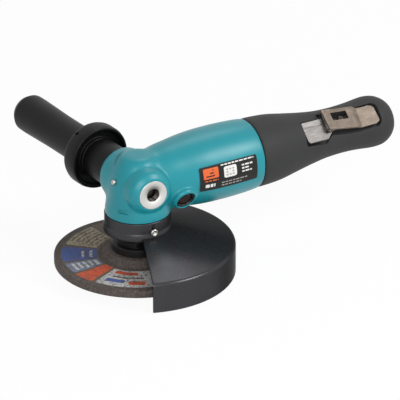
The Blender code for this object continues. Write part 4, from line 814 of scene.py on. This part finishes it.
fit(side_grip, "housing", "rubber", "side_handle_grip")


# Rear grip. Soft black rubber, moulded over the handle core, with a hollow that the lock-off pad and
# the throttle lever sink into. Exhaust air leaves through a ring of holes in its end.

# The throttle side of the handle: X runs along the motor, and Z points out through the lever.
HANDLE = Matrix.Translation((0, 0, AXIS_Z * MM)) @ Matrix.Rotation(math.radians(38.0), 4, "X")
# Moulded rubber: a dull charcoal with a faint powdery skin, drawn at 0.7 mm so that it shows.
moulded_rubber = coating("moulded_black_rubber", "#373737", "#2f2f2f", 0.62, 0.7, 0.03, 0.0, 30.0, 0.2)
grip = solid("grip_sleeve_moulding", flowing([
    (25.0, 96.0), (26.0, 96.9), (26.4, 101.0), (25.4, 116.0), (22.7, 131.0), (20.2, 145.0), (18.5, 158.0),
    (18.0, 172.0), (18.6, 186.0), (19.7, 197.0), (19.9, 203.0), (18.9, 209.0), (16.4, 214.0), (13.2, 217.6),
    (10.6, 219.0)]), MOTOR, moulded_rubber)
SLIMMED = 0.045  # how much the lower half of the grip is drawn in, behind the lever's nose
for corner in grip.data.vertices:
    along = corner.co.x / MM
    slim = min(max((along - 150) / 30, 0), 1) * min(max((214 - along) / 11, 0), 1)
    if corner.co.z < AXIS_Z * MM:
        corner.co.z += (AXIS_Z * MM - corner.co.z) * SLIMMED * slim
pad_pocket = [(135.5, 4.4), (153.2, 4.4), (153.2, 9.5), (162.0, 9.5), (162.0, -9.5), (159.0, -9.6),
              (154.2, -13.9), (135.5, -13.9)]
lever_pocket = rounded([
    (160.0, 9.2), (183.5, 9.2), (187.5, 7.0), (203.4, 7.0), (203.4, -11.6), (184.0, -11.6), (160.0, -9.6)],
    5.0, steps=8)
combine(grip, "DIFFERENCE",
        slab("pad_pocket", pad_pocket, 10.4, 40.0, HANDLE),
        slab("lever_pocket", lever_pocket, 12.0, 42.0, HANDLE))
blend(grip, 0.55, 4)
bore = solid("core_bore", [
    (23.3, 94.0), (23.3, 101.1), (9.5, 126.3), (9.5, 162.7), (13.3, 165.7), (13.3, 209.1), (14.3, 209.1),
    (14.3, 213.7), (9.2, 213.7), (9.2, 222.0)], MOTOR)
drill_place = MOTOR @ Matrix.Translation((0, 0, 216.5 * MM)) @ Matrix.Rotation(math.pi / 8, 4, "Z")
combine(grip, "DIFFERENCE", bore, ring_of_drills("exhaust_holes", 8, 11.6, 1.1, 7.0, drill_place))
fit(grip, "housing", "rubber", "grip_sleeve")


# Throttle lever. A steel stamping with a joggle, a window and four ears, nickel plated over a brushed
# face, that swings on a cross pin at its rear.

TARNISH = 7.0
MARK_RELIEF = 0.02


def brushed_metal(name, colour, shade, roughness, along, across):
    """Plated metal with brush marks that run along the handle, in millimetres."""
    made, tree = new_material(name)
    spot = add(tree, "ShaderNodeTexCoord", {})
    drawn = add(tree, "ShaderNodeMapping", {
        "Vector": spot.outputs["Object"], "Scale": (1000 / along, 1000 / across, 1000 / across)})
    marks = add(tree, "ShaderNodeTexNoise", {"Vector": drawn.outputs[0], "Scale": 1.0, "Detail": 4.0})
    tarnish = add(tree, "ShaderNodeTexNoise", {
        "Vector": spot.outputs["Object"], "Scale": 1000 / TARNISH, "Detail": 3.0})
    tone = add(tree, "ShaderNodeMath", {
        0: marks.outputs["Fac"], 1: tarnish.outputs["Fac"]}, operation="MULTIPLY")
    level = add(tree, "ShaderNodeMapRange", {"Value": tone.outputs[0], "From Min": 0.1, "From Max": 0.45})
    tint = add(tree, "ShaderNodeMix", {
        "Factor": level.outputs[0], 6: linear(shade), 7: linear(colour)}, data_type="RGBA")
    dull = add(tree, "ShaderNodeMapRange", {
        "Value": marks.outputs["Fac"], "To Min": roughness + 0.1, "To Max": roughness - 0.1})
    bump = add(tree, "ShaderNodeBump", {
        "Height": marks.outputs["Fac"], "Strength": 1.0, "Distance": MARK_RELIEF * MM})
    shader = add(tree, "ShaderNodeBsdfPrincipled", {
        "Base Color": tint.outputs[2], "Roughness": dull.outputs[0], "Metallic": 1.0,
        "Normal": bump.outputs[0]})
    add(tree, "ShaderNodeOutputMaterial", {"Surface": shader.outputs[0]})
    return made


def reshape(piece, place, change):
    """Lets change work on a piece's mesh, in the axes of a place."""
    shape = bmesh.new()
    shape.from_mesh(piece.data)
    shape.transform(place.inverted())
    change(shape)
    shape.transform(place)
    shape.to_mesh(piece.data)
    shape.free()


def skew_joggle(shape):
    """Runs the joggle askew: on the near side it lies closer to the nose."""
    for corner in shape.verts:
        if 9.0 < corner.co.x / MM < 18.0 and corner.co.z < 0:
            corner.co.x += JOGGLE_SKEW * MM


def bend_far_edge(shape):
    """Bends the raised plate's far edge down, along a line that follows the lever."""
    bmesh.ops.bisect_plane(shape, geom=[*shape.verts, *shape.edges, *shape.faces],
                           plane_co=(0, 0, BEND_LINE * MM), plane_no=(0, 0, 1))
    for corner in shape.verts:
        beyond = max(corner.co.z / MM - BEND_LINE, 0.0)
        raised = min(max((corner.co.x / MM - 12.0) / 4.0, 0.0), 1.0)
        corner.co.y -= BEND_SLOPE * beyond * raised * MM


# Brushed nickel plate, gone warm with age: streaks along the handle that smear its highlight. They are
# drawn 0.5 mm apart so that they show.
brushed_nickel = brushed_metal("brushed_nickel_plate", "#94877b", "#6e645b", 0.46, 9.0, 0.5)
JOGGLE_SKEW = 2.0
BEND_LINE, BEND_SLOPE = 4.9, 0.34
SHEET = 1.6
# LEVER sits at the rear pin: X runs to the nose, Y out of the grip and Z to the far side. PLAN looks
# down on it: X as before, and Y to the near side.
LEVER = HANDLE @ Matrix.Translation((198.0 * MM, 0, 14.8 * MM)) @ Matrix((
    (-1, 0, 0, 0), (0, 0, 1, 0), (0, 1, 0, 0), (0, 0, 0, 1)))
PLAN = Matrix(((1, 0, 0, 0), (0, 0, 1, 0), (0, -1, 0, 0), (0, 0, 0, 1)))
lever_line = [(-3.4, 3.3), (10.4, 3.3), (11.7, 3.5), (14.6, 4.9), (16.0, 5.3), (43.6, 10.4)]
under_line = [(u, h - SHEET) for u, h in reversed(lever_line)]
lever = slab("throttle_lever_plate", lever_line + under_line, -10.8, 8.5, LEVER, brushed_nickel)
reshape(lever, LEVER, skew_joggle)
plate_outline = rounded([
    (-3.4, -3.2), (-0.4, -5.4), (11.0, -5.6), (14.5, -8.0), (43.6, -8.5), (43.6, 8.5), (14.0, 10.4),
    (0.0, 10.2), (-3.4, 8.6)], 1.6)
window = rounded([(22.0, -4.8), (37.0, -4.8), (37.0, 1.8), (22.0, 1.8)], 0.9)
combine(lever, "INTERSECT", slab("plate_outline", plate_outline, -20.0, 20.0, LEVER @ PLAN))
combine(lever, "DIFFERENCE", slab("lever_window", window, -20.0, 20.0, LEVER @ PLAN))
reshape(lever, LEVER, bend_far_edge)
REAR_EAR, FRONT_EAR = 2.5, 2.3
NOSE_X, NOSE_Y = 41.6, 5.9
rear_ear = [(REAR_EAR * math.cos(math.radians(a)), REAR_EAR * math.sin(math.radians(a)))
            for a in range(180, 361, 15)]
rear_ear += [(5.5, 2.6), (-2.5, 2.6)]
front_ear = [(35.6, 8.3), (37.6, 5.9)]
front_ear += [(NOSE_X + FRONT_EAR * math.cos(math.radians(a)), NOSE_Y + FRONT_EAR * math.sin(math.radians(a)))
              for a in range(220, 361, 14)]
front_ear += [(43.2, 9.7)]
for low, high in ((-6.5, -4.9), (3.6, 5.2)):
    combine(lever, "UNION", slab("rear_ear", rear_ear, low, high, LEVER))
for low, high in ((-8.49, -6.9), (6.9, 8.49)):
    combine(lever, "UNION", slab("front_ear", front_ear, low, high, LEVER))
NOSE = LEVER @ Matrix.Translation((NOSE_X * MM, NOSE_Y * MM, 0))
combine(lever, "DIFFERENCE", slab(
    "stem_relief", [(24.5, 4.0), (31.5, 5.0), (31.5, 7.0), (24.5, 5.7)], -3.6, 3.6, LEVER))
combine(lever, "DIFFERENCE",
        solid("rear_pin_holes", [(1.45, -9.0), (1.45, 9.0)], LEVER, None, 32),
        solid("front_pin_holes", [(1.3, -9.5), (1.3, 9.5)], NOSE, None, 32))
crisp(lever, 0.35)
fit(lever, "throttle", "nickel", "throttle_lever")


# Lock-off lever. A folded steel pad under the throttle lever's nose, zinc plated to a pale grey, that
# has to be lifted before the throttle goes down.

# Zinc plate gone dull: a soft grey metal with short brush marks, drawn 0.8 mm apart so that they show.
pale_zinc = brushed_metal("dull_zinc_plate", "#7f7c7a", "#6a6765", 0.5, 5.0, 0.8)
# FORWARD sits at the nose pin with its Z along the handle, so that the pad's section runs forward.
FORWARD = NOSE @ Matrix(((0, 0, 1, 0), (0, 1, 0, 0), (-1, 0, 0, 0), (0, 0, 0, 1)))
pad_section = rounded([(-3.6, -1.3), (0.8, -2.2), (13.0, -3.4), (13.0, -1.9), (0.8, -0.7), (-3.6, 0.2)], 0.3)
pad = slab("lockoff_lever_pad", pad_section, -3.0, 20.0, FORWARD, pale_zinc)
pad_outline = rounded([(-3.0, -3.6), (20.0, -3.6), (20.0, 11.5), (18.5, 13.0), (2.9, 13.0), (-3.0, 7.9)], 0.9)
combine(pad, "INTERSECT", slab("pad_outline", pad_outline, -9.0, 9.0, NOSE @ PLAN))
combine(pad, "DIFFERENCE", slab(
    "fold_crease", [(0.6, -1.0), (1.0, -1.0), (1.0, 2.0), (0.6, 2.0)], -4.0, 21.0, FORWARD))
combine(pad, "UNION", solid("knuckle", [(2.2, -6.6), (2.2, -3.4)], NOSE, None, 32))
combine(pad, "DIFFERENCE",
        slab("ear_room", [(-4.0, -6.0), (2.9, -6.0), (2.9, 6.0), (-4.0, 6.0)], -8.8, -6.6, NOSE),
        slab("spring_room", [(-3.8, -6.0), (2.8, -6.0), (2.8, 6.0), (-3.8, 6.0)], -3.4, 5.4, NOSE),
        solid("pin_hole", [(1.35, -13.0), (1.35, 4.6)], NOSE, None, 32))
crisp(pad, 0.2)
fit(pad, "lockoff", "steel", "lockoff_lever")


# Air inlet. A turned steel bushing, zinc plated, screwed into the core through the end of the grip. The
# thread in its bore takes the hose coupling.

inlet = turn("inlet_bushing_body", [
    (5.6, 200.2), *thread_line(5.6, 6.3, 201.0, 0.7, 1.45, 12), (5.7, 218.9), (6.4, 219.7),
    *rounded([(8.3, 219.7), (8.9, 219.7), (8.9, 219.0)], 0.5, False),
    (8.9, 209.3), (7.4, 209.3), (7.4, 200.2)], MOTOR, zinc_steel)
crisp(inlet, 0.06, 50)
fit(inlet, "housing", "steel", "inlet_bushing")


# Coil springs. Round steel wire, wound cold, under the valve and under the lock button. In the tool one end of
# each stays in the housing and the other goes down with the piece that it lifts; here each is drawn as one
# fixed coil.

def coil_spring(name, radius, wire, turns, length, place):
    """A spring along the Z of a place: the wire's round section, swept along a spiral."""
    def build(tree, given):
        path = add(tree, "GeometryNodeCurveSpiral", {
            "Resolution": 28, "Rotations": given["Turns"], "Start Radius": given["Coil radius"],
            "End Radius": given["Coil radius"], "Height": given["Length"]})
        section = add(tree, "GeometryNodeCurvePrimitiveCircle", {
            "Resolution": 12, "Radius": given["Wire radius"]})
        coil = add(tree, "GeometryNodeCurveToMesh", {
            "Curve": path.outputs["Curve"], "Profile Curve": section.outputs["Curve"], "Fill Caps": True})
        return coil.outputs["Mesh"]

    sizes = {"Coil radius": radius * MM, "Wire radius": wire * MM,
             "Turns": float(turns), "Length": length * MM}
    return grow(name, sizes, build, spring_steel, place)


# Drawn spring wire: grey steel with a thin bright line along each turn.
spring_steel = coating("drawn_spring_steel", "#8f8d8a", "#7a7876", 0.35, 0.5, 0.006, 1.0, 3.0)
SPRING_TURNS = 3
VALVE = HANDLE @ Matrix.Translation((170.0 * MM, 0, 0))
for name, radius, wire, place, low, high, moving in (
    ("valve_spring", 3.0, 0.35, VALVE, -10.05, -6.55, "valve"),
    ("lock_button_spring", 3.6, 0.32, BUTTON, 16.72, 20.08, "spindle_lock_button"),
):
    start = place @ Matrix.Translation((0, 0, low * MM))
    spring = coil_spring(f"{name}_coil", radius, wire, SPRING_TURNS, high - low, start)
    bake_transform(spring)
    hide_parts(name)


# Inner pieces. Gears, bearings, motor, core and valve, in steel, aluminium, brass, phenolic and felt. Each
# stays as the CAD has it, and gets the finish that its making leaves.

# Hard anodised aluminium: a dark grey, half metallic skin, dull in the light.
dark_core = coating("hard_anodised_aluminium", "#3e3d3c", "#343332", 0.5, 0.8, 0.01, 0.5)
# Ground bearing steel: pale and close to a mirror.
bearing_steel = coating("ground_bearing_steel", "#bab8b5", "#a7a5a2", 0.25, 1.2, 0.004, 1.0)
# Turned brass, aged: a brownish yellow metal with darker clouds.
aged_brass = coating("turned_brass", "#8d7647", "#6f5d3a", 0.38, 0.6, 0.008, 1.0, 5.0)
# Woven phenolic: a dull toffee brown, its cloth shown as a fine skin.
phenolic = coating("woven_phenolic", "#6b4a33", "#593d2a", 0.6, 0.6, 0.02)
# Pressed felt: a soft grey with no highlight, its fibres shown as a deep fine skin.
felt = coating("pressed_felt", "#8b8a88", "#767573", 0.95, 0.4, 0.12)
INNER = {
    dark_core: ["handle_core"],
    bearing_steel: [f"{place}_bearing_{race}" for place in ("lower", "upper", "front", "rear")
                    for race in ("outer", "inner")] + ["front_end_plate", "rear_end_plate", "cylinder_liner"],
    black_oxide: ["bevel_gear", "bevel_pinion", "rotor"],
    spring_steel: ["lockoff_spring", "lever_pin", "lockoff_pin", "side_handle_stud"],
    aged_brass: ["valve_cap", "inlet_screen"],
    # The valve stem takes the thread's steel, whose dark colour is painted shade.
    oiled_thread_painted_shade: ["valve_stem"],
    phenolic: [f"vane_{number}" for number in range(1, 6)],
    felt: ["exhaust_silencer"],
}
for finish, names in INNER.items():
    for name in names:
        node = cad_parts[name]
        node.data.materials.clear()
        node.data.materials.append(finish)
